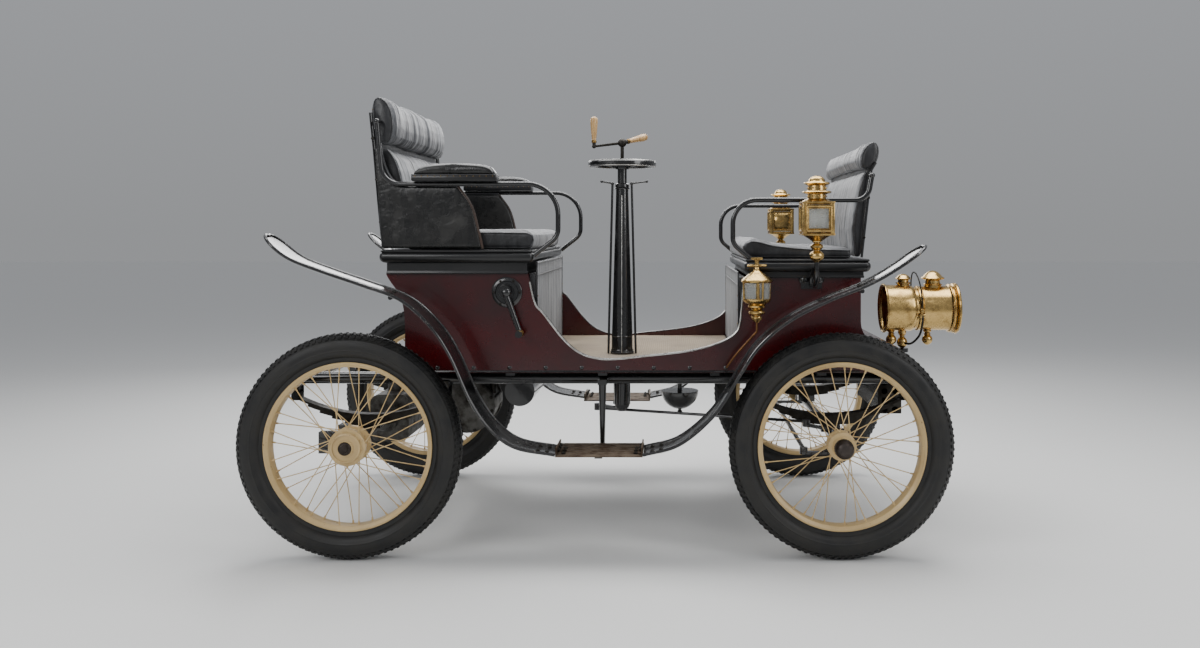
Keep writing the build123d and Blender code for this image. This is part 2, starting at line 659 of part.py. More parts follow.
def front_edge(x_shift=0):
    """The tub's front: upright, then sweeping forwards to a low nose."""
    x = BODY_FRONT_X + x_shift
    low_z = NOSE_TOP_Z
    path = Line((NOSE_X + x_shift, BODY_BOTTOM_Z), (NOSE_X + x_shift, low_z))
    path += Line((NOSE_X + x_shift, low_z), (x + APRON_R, low_z))
    path += ThreePointArc(
        (x + APRON_R, low_z),
        (x + APRON_R * (1 - math.sqrt(0.5)), low_z + APRON_R * (1 - math.sqrt(0.5))),
        (x, low_z + APRON_R),
    )
    return path + Line((x, low_z + APRON_R), (x, FRONT_TOP_Z))


def side_panel():
    """One side of the tub, with the low doorway between the seats."""
    well_rear = REAR_SEAT_FRONT_X - 21
    well_front = FRONT_SEAT_REAR_X - 4
    outline = rear_edge()
    outline += Line((BODY_REAR_X, BODY_BOTTOM_Z), (NOSE_X, BODY_BOTTOM_Z))
    outline += front_edge()
    outline += Line((BODY_FRONT_X, FRONT_TOP_Z), (well_front, FRONT_TOP_Z))
    outline += Line((well_front, FRONT_TOP_Z), (well_front - 3, SILL_Z + 115))
    outline += Spline(
        (well_front - 3, SILL_Z + 115), (well_front - 76, SILL_Z + 46), (well_rear + 362, SILL_Z),
        (well_rear + 153, SILL_Z + 23), (well_rear + 39, SILL_Z + 154), (well_rear, REAR_TOP_Z),
        tangents=[(-0.25, -1), (-0.18, 1)],
    )
    outline += Line((well_rear, REAR_TOP_Z), (REAR_SEAT_REAR_X + 16, REAR_TOP_Z))
    return xz_slab(outline, BODY_HALF_WIDTH - PANEL, BODY_HALF_WIDTH)


def make_tub():
    panel = side_panel()
    NODES["left_body_side"], NODES["right_body_side"] = panel, to_right(panel)
    inside = BODY_HALF_WIDTH - PANEL

    back = rear_edge() + Line((BODY_REAR_X, BODY_BOTTOM_Z), (BODY_REAR_X + PANEL, BODY_BOTTOM_Z))
    back += rear_edge(PANEL) + Line(
        (REAR_SEAT_REAR_X + 16 + PANEL, REAR_TOP_Z), (REAR_SEAT_REAR_X + 16, REAR_TOP_Z)
    )
    NODES["rear_body_panel"] = xz_slab(back, -inside, inside)

    low_z = NOSE_TOP_Z
    wall = PANEL
    arc = APRON_R * (1 - math.sqrt(0.5))
    thick = APRON_R + wall
    inner_arc = thick * (1 - math.sqrt(0.5))
    x = BODY_FRONT_X
    nose = Polyline((NOSE_X, BODY_BOTTOM_Z), (NOSE_X, low_z), (x + APRON_R, low_z))
    nose += ThreePointArc((x + APRON_R, low_z), (x + arc, low_z + arc), (x, low_z + APRON_R))
    nose += Polyline((x, low_z + APRON_R), (x, FRONT_TOP_Z), (x - wall, FRONT_TOP_Z),
                     (x - wall, low_z + APRON_R))
    nose += ThreePointArc(
        (x - wall, low_z + APRON_R), (x - wall + inner_arc, low_z - wall + inner_arc),
        (x + APRON_R, low_z - wall)
    )
    nose += Polyline((x + APRON_R, low_z - wall), (NOSE_X - wall, low_z - wall),
                     (NOSE_X - wall, BODY_BOTTOM_Z),
                     (NOSE_X, BODY_BOTTOM_Z))
    NODES["front_apron"] = xz_slab(nose, -inside, inside)

    floor_z = (FLOOR_TOP_Z - PANEL, FLOOR_TOP_Z)
    NODES["floor_board"] = block((REAR_SEAT_FRONT_X, BODY_FRONT_X - 40), (-inside, inside), floor_z)
    riser_x = FRONT_SEAT_REAR_X - RISER_SETBACK
    mat = block(
        (REAR_SEAT_FRONT_X + SEAT_GAP, riser_x - SEAT_GAP), (-inside + 2, inside - 2),
        (FLOOR_TOP_Z, FLOOR_TOP_Z + MAT),
    )
    NODES["floor_mat"] = mat
    rear = block(
        (REAR_SEAT_FRONT_X - PANEL, REAR_SEAT_FRONT_X), (-inside, inside), (BODY_BOTTOM_Z, REAR_TOP_Z)
    )
    front = block((riser_x, riser_x + PANEL), (-inside, inside), (FLOOR_TOP_Z, FRONT_TOP_Z))
    NODES["seat_risers"] = group([rear, front])


def seat_board(x_low, x_high, top_z, frieze_z):
    """A seat board with a round nosing and a narrower frieze below it."""
    half = SEAT_HALF_WIDTH
    board = block((x_low, x_high), (-half, half), (top_z - SEAT_BOARD, top_z))
    board = fillet(board.edges(), SEAT_NOSING_R)
    inner = half - FRIEZE_INSET
    frieze = block((x_low + 16, x_high - 3), (-inner, inner), (frieze_z, top_z - SEAT_BOARD + 2))
    return board + frieze


def make_seats():
    NODES["rear_seat_board"] = seat_board(REAR_SEAT_REAR_X, REAR_SEAT_FRONT_X, REAR_SEAT_Z, REAR_TOP_Z)
    NODES["front_seat_board"] = seat_board(FRONT_SEAT_REAR_X, FRONT_SEAT_FRONT_X, FRONT_SEAT_Z,
                                           FRONT_TOP_Z)

    make_rear_seat()
    make_front_seat()


def make_rear_seat():
    half = CUSHION_HALF_WIDTH
    x = REAR_SEAT_REAR_X
    top = REAR_SEAT_Z
    cushion = from_point(x + 67, top, [(0, 62), (0, 0)])
    cushion += from_point(REAR_SEAT_FRONT_X, top, [(-12, 0), (4, 20), (2, 50), (-22, 66)])
    NODES["rear_seat_cushion"] = xz_slab(Polyline(*cushion, close=True), -half, half)

    foot, tip, neck, chest, waist, seat = from_point(
        x, top, [(1, 0), (-31, 338), (21, 338), (57, 269), (75, 164), (65, 68)]
    )
    back = Polyline(foot, tip, neck) + Spline(neck, chest, waist, seat)
    back += Polyline(seat, (seat[0], top), foot)
    rear, crown, front, brow = from_point(x, top, [(-43, 474), (-25, 519), (27, 486), (35, 414)])
    roll = Line(tip, rear) + Spline(rear, crown, front, brow, neck, tangents=[(-0.05, 1), (-0.4, -1)])
    roll += Line(neck, tip)
    overhang = half + ROLL_OVERHANG
    NODES["rear_seat_back"] = xz_slab(back, -half, half) + xz_slab(roll, -overhang, overhang)

    heel, toe, shin, knee, front, rear, hip, shoulder, edge = from_point(
        x, top, [(-1, 0), (332, 0), (319, 60), (295, 144), (251, 210), (73, 210), (25, 244), (-3, 334),
                  (-25, 334)]
    )
    cheek = Line(heel, toe) + Spline(toe, shin, knee, front) + Line(front, rear)
    cheek += Spline(rear, hip, shoulder, tangents=[(-1, 0), (-0.15, 1)])
    cheek += Polyline(shoulder, edge, heel)
    inner = half + 4
    NODES["seat_cheeks"] = pair(xz_slab(cheek, inner, inner + CHEEK))

    pad = from_point(x + 108, REAR_ARMREST_Z + SEAT_RAIL_R + SEAT_GAP, [
        (0, 0), (277, 0), (277, 26), (257, 50), (220, 58), (85, 58), (35, 50), (0, 26),
    ])
    pad = xz_slab(Polyline(*pad, close=True), SEAT_RAIL_Y - 36, SEAT_RAIL_Y + 36)
    NODES["arm_pads"] = pair(pad)


def make_front_seat():
    half = CUSHION_HALF_WIDTH
    top = FRONT_SEAT_Z
    cushion = from_point(FRONT_SEAT_REAR_X, top, [(-9, 10), (5, 0)])
    cushion += from_point(FRONT_SEAT_FRONT_X, top, [(-49, 0), (-49, 36)])
    cushion += from_point(FRONT_SEAT_REAR_X, top, [(215, 36), (95, 50), (35, 66), (1, 66), (-13, 46)])
    NODES["front_seat_cushion"] = xz_slab(Polyline(*cushion, close=True), -half - 8, half + 8)

    x = FRONT_SEAT_FRONT_X
    foot, tip, neck, chest, waist, seat = from_point(
        x, top, [(-21, 0), (12, 296), (-15, 296), (-41, 192), (-53, 94), (-47, 40)]
    )
    back = Polyline(foot, tip, neck) + Spline(neck, chest, waist, seat)
    back += Polyline(seat, (seat[0], top), foot)
    low, high, crown, front = from_point(x, top, [(35, 334), (37, 380), (15, 392), (-15, 362)])
    roll = Line(neck, tip) + Spline(tip, low, high, crown, front, neck, tangents=[(1, 0.6), (0.2, -1)])
    overhang = half + ROLL_OVERHANG
    NODES["front_seat_back"] = xz_slab(back, -half, half) + xz_slab(roll, -overhang, overhang)


def seat_rail(points, corner_radii, inner_y):
    """A round rail bent in one plane, with a ball and a peg towards the seat at its upper end."""
    rail = tube_along([(x, SEAT_RAIL_Y, z) for x, z in points], corner_radii, SEAT_RAIL_R)
    x, z = points[0]
    rail += Pos(x, SEAT_RAIL_Y, z) * Sphere(SEAT_RAIL_R + 2)
    return rail + rod((x, SEAT_RAIL_Y, z), (x, inner_y, z), SEAT_RAIL_R - 1)


def make_seat_rails():
    x = REAR_SEAT_REAR_X
    bow_x = REAR_SEAT_FRONT_X + 79
    rear = seat_rail(
        [(x - 10, REAR_SEAT_Z + 419), (x + 9, REAR_ARMREST_Z), (bow_x, REAR_ARMREST_Z),
         (bow_x, REAR_SEAT_Z + 44),
         (REAR_SEAT_FRONT_X, REAR_SEAT_Z - 18)],
        [62, 100, 50], CUSHION_HALF_WIDTH + ROLL_OVERHANG,
    )
    rear -= NODES["rear_seat_board"]

    x = FRONT_SEAT_FRONT_X
    bow_x = FRONT_SEAT_REAR_X - 37
    foot_x = FRONT_SEAT_REAR_X + 21
    front = seat_rail(
        [(x + 5, FRONT_SEAT_Z + 272), (x - 9, FRONT_ARMREST_Z), (bow_x, FRONT_ARMREST_Z),
         (bow_x, FRONT_SEAT_Z + 49),
         (foot_x, FRONT_SEAT_Z)],
        [46, 78, 40], CUSHION_HALF_WIDTH,
    )
    below = (FRONT_SEAT_Z - SEAT_BOARD, FRONT_SEAT_Z)
    front -= block((bow_x, foot_x + 60), (SEAT_RAIL_Y - 20, SEAT_RAIL_Y + 20), below)
    NODES["seat_rails"] = group([rear, to_right(rear), front, to_right(front)])


# ---------------------------------------------------------------- fenders and steps
def fender(points):
    """A flat strip with a rolled bead along each edge, bent along a curve in X and Z."""
    path = Plane.XZ * Spline(*points)
    start = Plane(origin=path @ 0, z_dir=path % 0, x_dir=(0, 1, 0))
    half = FENDER_WIDTH / 2
    section = Rectangle(FENDER_WIDTH - 2 * FENDER_BEAD_R, FENDER_SHEET)
    section += Pos(half - FENDER_BEAD_R, 0) * Circle(FENDER_BEAD_R)
    section += Pos(-half + FENDER_BEAD_R, 0) * Circle(FENDER_BEAD_R)
    return Pos(0, WHEEL_Y, 0) * sweep(start * section, path=path)


def stay(points, x):
    """A round stay from the tub out to the underside of a fender's beads."""
    path = Spline(*points)
    t = path.param_at_point(path.intersect(Line((x, 0), (x, TYRE_R * 6))).vertices()[0].center())
    lean = path % t
    drop = (FENDER_BEAD_R + STAY_R) / abs(lean.X) + SEAT_GAP
    z = (path @ t).Y - drop
    return rod((x, BODY_HALF_WIDTH, z), (x, WHEEL_Y + FENDER_WIDTH / 4, z), STAY_R)


def make_fenders():
    rear_points = from_point(REAR_AXLE_X, AXLE_Z, [
        (-260, 661), (-178, 592), (-71, 548), (52, 506), (175, 459), (267, 377), (328, 285), (389, 150),
        (451, 61),
        (527, 6),
    ])
    rear_points.append((STEP_REAR_X - STEP_GAP, STEP_TOP_Z + 1))
    front_points = [(STEP_FRONT_X + STEP_GAP, STEP_TOP_Z + 1)] + from_point(FRONT_AXLE_X, AXLE_Z, [
        (-507, 15), (-399, 107), (-322, 227), (-261, 316), (-169, 394), (-46, 457), (76, 506),
        (168, 558), (263, 626),
    ])
    for end, points in (("rear", rear_points), ("front", front_points)):
        strip = fender(points)
        NODES[f"left_{end}_fender"] = strip
        NODES[f"right_{end}_fender"] = to_right(strip)
    stays = [stay(rear_points, BODY_REAR_X), stay(front_points, BODY_FRONT_X - 28)]
    NODES["fender_stays"] = group([twin for bar in stays for twin in (bar, to_right(bar))])

    step = block(
        (STEP_REAR_X, STEP_FRONT_X), (STEP_INNER_Y, STEP_OUTER_Y), (STEP_TOP_Z - STEP_SHEET, STEP_TOP_Z)
    )
    NODES["steps"] = pair(step)

    # a forged arm drops from each rail to its step
    x = STEP_BRACKET_X
    under = STEP_TOP_Z - STEP_SHEET
    arm_y = STEP_INNER_Y - 17
    arm = block((x - 15, x + 15), (RAIL_Y, arm_y + 14), (RAIL_Z - 8, RAIL_Z + 8))
    arm += rod((x, arm_y, RAIL_Z), (x, arm_y, under), 13, 8)
    arm -= rod((x - 30, RAIL_Y, RAIL_Z), (x + 30, RAIL_Y, RAIL_Z), RAIL_R + RUNNING_GAP)
    arm += rod((x, arm_y, under), (x, arm_y, under - 8), 8)
    arm += block((x - 12, x + 12), (arm_y, STEP_OUTER_Y - 20), (under - 8, under))
    NODES["step_brackets"] = pair(arm)


# ---------------------------------------------------------------- brass and fittings
def side_lamp():
    """A square carriage lamp on a ball-turned stem, left-hand, with its glass apart."""
    x = LAMP_X
    y = LAMP_Y
    z = LAMP_BASE_Z
    stem = lathe_z(
        [(0, z), (8, z), (20, z + 12), (22, z + 22), (18, z + 32), (12, z + 36), (18, z + 42),
         (19, z + 50),
         (12, z + 58), (14, z + 64), (40, z + 84), (0, z + 84)], x, y,
    )
    half = 51
    wall = 7
    low = z + 84
    high = z + 190
    case = block((x - half, x + half), (y - half, y + half), (low, high))
    case = fillet(case.edges().filter_by(Axis.Z), 8)
    case -= block((x - half + wall, x + half - wall), (y - half + wall, y + half - wall),
                  (low + wall, high - wall))
    window = half - 13
    case -= block((x - window, x + window), (y - half - 1, y + half + 1), (low + 13, high - 13))
    case -= block((x - half - 1, x), (y - window, y + window), (low + 13, high - 13))
    dome = lathe_z(
        [(0, high), (40, high), (30, high + 6), (30, high + 24), (43, high + 30), (43, high + 33),
         (29, high + 37),
         (27, high + 54), (38, high + 58), (38, high + 62), (26, high + 66), (20, high + 76),
         (10, high + 81),
         (0, high + 82)], x, y,
    )
    lamp = stem + case + dome
    inset = half - wall
    panes = [
        block((x - window - 3, x + window + 3), (y + inset - 3, y + inset), (low + 10, high - 10)),
        block((x - window - 3, x + window + 3), (y - inset, y - inset + 3), (low + 10, high - 10)),
        block((x - inset, x - inset + 3), (y - window - 3, y + window + 3), (low + 10, high - 10)),
    ]
    burner = lathe_z([(0, low + wall), (14, low + wall), (14, low + 14), (5, low + 20), (4, low + 30),
                     (0, low + 30)],
                     x, y)
    return lamp + burner, panes


def lamp_bracket():
    """A forged arm from the seat's frieze out to the lamp's stem."""
    arm = tube_along(
        [(LAMP_X, BODY_HALF_WIDTH + 6, LAMP_FOOT_Z), (LAMP_X, LAMP_Y, LAMP_FOOT_Z),
         (LAMP_X, LAMP_Y, LAMP_BASE_Z)],
        [50], 7,
    )
    foot_z = (LAMP_FOOT_Z - 12, LAMP_FOOT_Z + 12)
    return arm + block((LAMP_X - 34, LAMP_X + 34), (BODY_HALF_WIDTH, BODY_HALF_WIDTH + 8), foot_z)


def make_brass():
    lamp, panes = side_lamp()
    NODES["side_lamps"] = pair(lamp)
    brackets = [lamp_bracket(), to_right(lamp_bracket())]

    x0 = HEADLAMP_REAR_X
    z = HEADLAMP_Z
    front = x0 + HEADLAMP_LENGTH
    shell = lathe_x(
        [(x0, 0), (x0, 88), (x0 + 6, 90), (x0 + 10, 87), (front - 180, 84), (front - 152, 66),
         (front - 136, 66),
         (front - 128, 80), (front - 26, 80), (front - 22, 88), (front - 12, 90), (front - 8, 93),
         (front + 5, 93),
         (front + 5, LENS_R), (front, LENS_R), (front, 74), (front - 30, 60), (front - 60, 0)], 0, z,
    )
    for cx, scale in ((front - 80, 1.0), (front - 188, 0.7)):
        shell += lathe_z(
            [(0, z + 60), (34 * scale, z + 60), (34 * scale, z + 94), (27 * scale, z + 98),
             (27 * scale, z + 100 + 12 * scale), (40 * scale, z + 100 + 14 * scale),
             (40 * scale, z + 100 + 18 * scale), (26 * scale, z + 100 + 30 * scale),
             (10 * scale, z + 100 + 37 * scale), (0, z + 100 + 38 * scale)], cx, 0,
        )
    foot = z - HEADLAMP_FOOT
    post_x = front - 192
    for cx, depth in ((front - 232, 0), (post_x, 12), (front - 100, 0)):
        shell += lathe_z(
            [(0, z - 60), (16, z - 60), (16, z - 96), (9, z - 100), (9, z - 108), (18, z - 112),
             (18, foot + 8 - depth), (8, foot - depth), (0, foot - depth)], cx, 0,
        )
    NODES["headlamp"] = shell
    lens_r = LENS_R - SEAT_GAP
    lens = lathe_x(
        [(front, 0), (front, lens_r), (front + 4, lens_r), (front + 14, 50), (front + LENS_BULGE - 1, 20),
         (front + LENS_BULGE, 0)], 0, z
    )
    NODES["lamp_glass"] = group([lens] + panes + [to_right(pane) for pane in panes])

    # the post stands on the front cross tube and ends in a cup under the lamp's rear fitting
    base_z = foot - 12
    tube_top = RAIL_Z + CROSS_TUBE_R
    post = tube_along(
        [(HEADLAMP_POST_X, 0, tube_top + 4), (HEADLAMP_POST_X, 0, base_z - 12),
         (post_x - 20, 0, base_z - 8)],
        [10], 9,
    )
    post += block((HEADLAMP_POST_X - 20, HEADLAMP_POST_X + 20), (-20, 20),
                  (tube_top + SEAT_GAP, tube_top + 8))
    post += rod((post_x, 0, base_z - 14), (post_x, 0, base_z - SEAT_GAP), 22)
    post += block((post_x - 40, post_x), (-9, 9), (base_z - 14, base_z - 2))
    NODES["lamp_brackets"] = group(brackets + [post])


def make_oiler():
    """The drip oiler on the right side of the front box, with its copper pipe."""
    x = OILER_X
    y = -OILER_Y
    z = OILER_BASE_Z
    oiler = lathe_z(
        [(0, z), (10, z), (14, z + 6), (18, z + 14), (13, z + 20), (26, z + 28), (26, z + 36),
         (18, z + 42),
         (28, z + 50), (28, z + 56), (36, z + 62), (46, z + 66), (46, z + 130), (50, z + 133),
         (50, z + 140),
         (30, z + 156), (12, z + 166), (8, z + 176), (8, z + 196), (18, z + 200), (18, z + 208),
         (0, z + 210)], x, y,
    ) + rod((x - 32, y, z + 182), (x + 32, y, z + 182), 4)
    inner = BODY_HALF_WIDTH
    oiler += block((x - 14, x + 14), (-inner - 5, -inner), (z + 20, z + 70))
    NODES["drip_oiler"] = oiler + rod((x, -inner - 4, z + 45), (x, y + 10, z + 45), 6)
    foot = (x - 95, -inner - 6 - 20, BODY_BOTTOM_Z + 22)
    NODES["oil_pipe"] = tube_along(
        [(x, y, z - SEAT_GAP), (x, y, z - 30), (x - 70, y + 14, z - 110), foot], [14, 40], 3.5
    )


def make_crank():
    """The starting handle on the right side of the rear box."""
    x = CRANK_X
    y = -BODY_HALF_WIDTH
    z = CRANK_Z
    boss = rod((x, y, z), (x, y - 6, z), 46) + rod((x, y - 5, z), (x, y - 30, z), 25, 20)
    grip_x = x + 50
    grip_z = z - 136
    arm = rod((x, y - 24, z), (grip_x, y - 24, grip_z), 11, 9)
    arm += rod((grip_x, y - 15, grip_z), (grip_x, y - 62, grip_z), 9, 12)
    NODES["starting_handle"] = boss + arm


def make_under_fittings():
    """What hangs under the floor: the gong, the radiator and the silencer."""
    x = GONG_X
    top = RAIL_Z - 90
    bowl = Pos(x, 0, top) * Sphere(GONG_R)
    bowl = bowl & block((x - GONG_R, x + GONG_R), (-GONG_R, GONG_R), (top - GONG_R, top))
    bowl = bowl + rod((x, 0, top - GONG_R - 16), (x, 0, top - GONG_R + 4), 6)
    bowl += rod((x, 0, top - 1), (x, 0, FLOOR_TOP_Z - PANEL), 8)
    NODES["foot_gong"] = bowl

    x = HEADLAMP_POST_X
    high = RAIL_Z - CROSS_TUBE_R - SEAT_GAP
    width = RADIATOR_HALF_WIDTH
    core = block((x - 60, x + 22), (-width, width), (RAIL_Z - 141, high - 12))
    NODES["radiator"] = core + block((x - 14, x + 14), (-120, 120), (high - 14, high))

    z = RAIL_Z - 63
    silencer = rod((SILENCER_X, -200, z), (SILENCER_X, 200, z), SILENCER_R)
    for y in (-130, 130):
        silencer += block((SILENCER_X - 14, SILENCER_X + 14), (y - 14, y + 14), (z, RAIL_Z + RAIL_R))
    NODES["silencer"] = silencer


# ---------------------------------------------------------------- build and write
def main():
    make_wheels()
    make_steering()
    make_column()
    make_frame()
    make_front_axle()
    make_rear_axle()
    make_engine()
    make_tub()
    make_seats()
    make_seat_rails()
    make_fenders()
    make_brass()
    make_oiler()
    make_crank()
    make_under_fittings()
    os.makedirs("parts", exist_ok=True)
    low = [math.inf] * 3
    high = [-math.inf] * 3
    for name, drawn in NODES.items():
        shape = Pos(-ORIGIN_X, 0, 0) * drawn
        export_step(shape, f"parts/{name}.step")
        box = shape.bounding_box()
        low = [min(a, b) for a, b in zip(low, tuple(box.min))]
        high = [max(a, b) for a, b in zip(high, tuple(box.max))]
    print(len(NODES), "nodes; box", [round(v, 1) for v in low], [round(v, 1) for v in high])


main()
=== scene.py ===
# %% [markdown]
# # A face-to-face brass era car
# The CAD frame gives every size and place. Here each surface gets its finish, and the soft and turned
# pieces are modelled in full: leather cushions, wire wheels, ribbed tyres, brass lamps and rolled fenders.
# Everything is in metres, +X forwards, +Y the car's left, +Z up, and every piece rides on a CAD body.

# %% Load the frame
import bpy
import bmesh
import json
import math
import random
from mathutils import Matrix, Vector, noise


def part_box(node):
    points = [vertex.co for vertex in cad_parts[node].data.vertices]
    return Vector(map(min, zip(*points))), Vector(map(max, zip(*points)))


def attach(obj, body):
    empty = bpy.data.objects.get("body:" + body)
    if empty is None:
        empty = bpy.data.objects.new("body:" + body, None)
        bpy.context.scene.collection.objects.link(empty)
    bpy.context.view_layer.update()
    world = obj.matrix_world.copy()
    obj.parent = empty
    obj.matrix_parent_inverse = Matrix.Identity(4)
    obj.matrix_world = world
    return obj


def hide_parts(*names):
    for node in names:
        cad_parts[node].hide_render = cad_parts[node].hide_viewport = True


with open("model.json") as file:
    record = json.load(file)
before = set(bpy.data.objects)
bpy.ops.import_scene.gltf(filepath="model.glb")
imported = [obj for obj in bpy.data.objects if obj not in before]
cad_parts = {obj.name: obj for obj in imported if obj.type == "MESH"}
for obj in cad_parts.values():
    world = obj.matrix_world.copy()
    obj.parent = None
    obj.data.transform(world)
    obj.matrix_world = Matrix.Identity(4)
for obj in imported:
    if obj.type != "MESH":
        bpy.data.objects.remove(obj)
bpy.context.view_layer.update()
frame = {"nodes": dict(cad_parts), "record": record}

MM = 0.001


def centre_of(node):
    low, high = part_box(node)
    return (low + high) / 2


# %% [markdown]
# ## Camera, floor and light
# The car was seen square from its right-hand side, from standing eye height, with the lens aimed level.
# A level camera keeps uprights upright, so the framing is done with a small lens shift and no tilt.

# %% Camera
camera_data = bpy.data.cameras.new("side_camera")
camera_data.lens = 31.05
camera_data.sensor_width = 36
camera_data.shift_x = -0.06
camera_data.shift_y = -0.0783
camera = bpy.data.objects.new("side_camera", camera_data)
bpy.context.scene.collection.objects.link(camera)
camera.location = (0.155, -3.795, 1.03)
camera.rotation_euler = (math.radians(90), 0, 0)
bpy.context.scene.camera = camera


# %% Floor and lights
def add_floor(size):
    mesh = bpy.data.meshes.new("floor")
    half = size / 2
    corners = [(-half, -half, 0), (half, -half, 0), (half, half, 0), (-half, half, 0)]
    mesh.from_pydata(corners, [], [(0, 1, 2, 3)])
    floor = bpy.data.objects.new("floor", mesh)
    bpy.context.scene.collection.objects.link(floor)
    return floor


def add_softbox(name, place, aim, size, power):
    data = bpy.data.lights.new(name, "AREA")
    data.shape = "RECTANGLE"
    data.size, data.size_y = size
    data.energy = power
    lamp = bpy.data.objects.new(name, data)
    bpy.context.scene.collection.objects.link(lamp)
    lamp.location = place
    lamp.rotation_euler = (Vector(aim) - Vector(place)).to_track_quat("-Z", "Y").to_euler()


floor = add_floor(60)
add_softbox("top_softbox", (0.1, 0.3, 3.6), (0, 0, 0.6), (4.2, 2.2), 190)
add_softbox("near_softbox", (-2.6, -3.4, 2.6), (0, 0, 0.7), (2.4, 1.6), 60)
add_softbox("far_softbox", (2.9, -2.2, 2.2), (0.3, 0, 0.8), (1.4, 2.0), 38)
add_softbox("rim_softbox", (-0.6, 3.4, 2.4), (0, 0, 0.8), (3.6, 1.2), 60)


# %% [markdown]
# ## Finishes
# One small function adds a node with its settings and links, for shaders and for geometry alike.
# Each finish starts from what the real surface is, with its pattern sizes given in millimetres.

# %% Node helpers
def linear(hex_colour):
    """A linear RGBA colour from an sRGB hex value."""
    parts = [int(hex_colour[i:i + 2], 16) / 255 for i in (1, 3, 5)]
    return tuple(p / 12.92 if p <= 0.04045 else ((p + 0.055) / 1.055) ** 2.4 for p in parts) + (1.0,)


def add_node(tree, kind, inputs=None, **settings):
    """Adds a node; an input is either a value or the socket that feeds it."""
    node = tree.nodes.new(kind)
    for name, value in settings.items():
        setattr(node, name, value)
    for name, value in (inputs or {}).items():
        if isinstance(value, bpy.types.NodeSocket):
            tree.links.new(value, node.inputs[name])
        else:
            node.inputs[name].default_value = value
    return node


def start_material(name):
    material = bpy.data.materials.new(name)
    material.use_nodes = True
    tree = material.node_tree
    tree.nodes.clear()
    shader = add_node(tree, "ShaderNodeBsdfPrincipled")
    add_node(tree, "ShaderNodeOutputMaterial", {"Surface": shader.outputs[0]})
    place = add_node(tree, "ShaderNodeTexCoord").outputs["Object"]
    return material, tree, shader, place


def per_metre(size_mm):
    """A texture scale whose features are about this many millimetres across."""
    return 1000 / size_mm


def mix_colour(tree, factor, first, second):
    mixer = add_node(tree, "ShaderNodeMix", {0: factor, 6: first, 7: second}, data_type="RGBA")
    return mixer.outputs[2]


def blotches(tree, place, size_mm, low, high, detail=4.0, roughness=0.6):
    """Patches from 0 to 1: noise of one size, with everything under low at 0 and over high at 1."""
    texture = add_node(tree, "ShaderNodeTexNoise",
                       {"Vector": place, "Scale": per_metre(size_mm), "Detail": detail,
                        "Roughness": roughness})
    return add_node(tree, "ShaderNodeMapRange", {"Value": texture.outputs[0], 1: low, 2: high}).outputs[0]


def spread(tree, factor, low, high):
    """A factor of 0 to 1 made to run from low to high."""
    return add_node(tree, "ShaderNodeMapRange", {"Value": factor, 3: low, 4: high}).outputs[0]


def upward(tree, low=0.4, high=1.0):
    """1 where a surface faces up, where dust settles."""
    normal = add_node(tree, "ShaderNodeNewGeometry").outputs["Normal"]
    height = add_node(tree, "ShaderNodeSeparateXYZ", {0: normal}).outputs[2]
    return add_node(tree, "ShaderNodeMapRange", {"Value": height, 1: low, 2: high}).outputs[0]


def times(tree, first, second):
    return add_node(tree, "ShaderNodeMath", {0: first, 1: second}, operation="MULTIPLY").outputs[0]


# %% [markdown]
# ### Coach paint, enamel and cream wheel paint
# All three are brushed or stoved oil paints. They share a recipe: a gloss coat with slow colour drift,
# a faint brush ripple, dust where the surface faces up, and small chips that show what lies under.

# %% Paints
def old_paint(name, colour, drift, under, dust, gloss, coat, chip_mm, chip_from, ripple=0.12, metal=0.0):
    material, tree, shader, place = start_material(name)
    patches = blotches(tree, place, 160, 0.35, 0.7)
    tone = mix_colour(tree, patches, linear(colour), linear(drift))
    settled = times(tree, upward(tree), spread(tree, blotches(tree, place, 45, 0.3, 0.75), 0.1, 0.45))
    dusty = mix_colour(tree, settled, tone, linear(dust))
    chips = blotches(tree, place, chip_mm, chip_from, chip_from + 0.025, detail=6.0, roughness=0.7)
    final = mix_colour(tree, chips, dusty, linear(under))
    tree.links.new(final, shader.inputs["Base Color"])
    base_rough = spread(tree, patches, gloss, gloss + 0.12)
    rough = add_node(tree, "ShaderNodeMath", {0: base_rough, 1: times(tree, chips, 0.4)}, operation="ADD")
    tree.links.new(rough.outputs[0], shader.inputs["Roughness"])
    shader.inputs["Coat Weight"].default_value = coat
    shader.inputs["Coat Roughness"].default_value = 0.08
    shader.inputs["Metallic"].default_value = metal
    ripples = add_node(tree, "ShaderNodeTexNoise", {"Vector": place, "Scale": per_metre(14), "Detail": 2.0})
    height = add_node(tree, "ShaderNodeMath", {0: ripples.outputs[0], 1: chips}, operation="SUBTRACT")
    bump = add_node(tree, "ShaderNodeBump",
                    {"Height": height.outputs[0], "Strength": ripple, "Distance": 0.0012})
    tree.links.new(bump.outputs[0], shader.inputs["Normal"])
    tree.links.new(bump.outputs[0], shader.inputs["Coat Normal"])
    return material


# Varnished oil paint on wood: deep, almost black red that lights up in a reflection.
burgundy = old_paint("burgundy_coach_paint", "#420408", "#2B0305", "#24100B", "#4E312C", 0.22, 0.35, 26,
                     0.76)
# Stoved black enamel on iron, chipped to brown primer here and there.
enamel = old_paint("black_stove_enamel", "#0B0B0C", "#141415", "#4A3426", "#4C4A48", 0.2, 0.6, 13, 0.735)
# The same enamel where hands, boots and brushes rub it: rolled edges worn through to grey iron. Its lighter
# tone and many grey chips on the fender beads are also a painted highlight.
rubbed_and_highlit_enamel = old_paint("rubbed_black_enamel", "#19191A", "#29292A", "#77716A", "#5C5A58", 0.22, 0.5, 9,
                          0.62,
                          metal=0.35)
# Thin black lacquer over the wooden mouldings, dull with age.
lacquer = old_paint("black_lacquered_wood", "#09090A", "#121213", "#2C2420", "#262628", 0.34, 0.2, 30, 0.75)
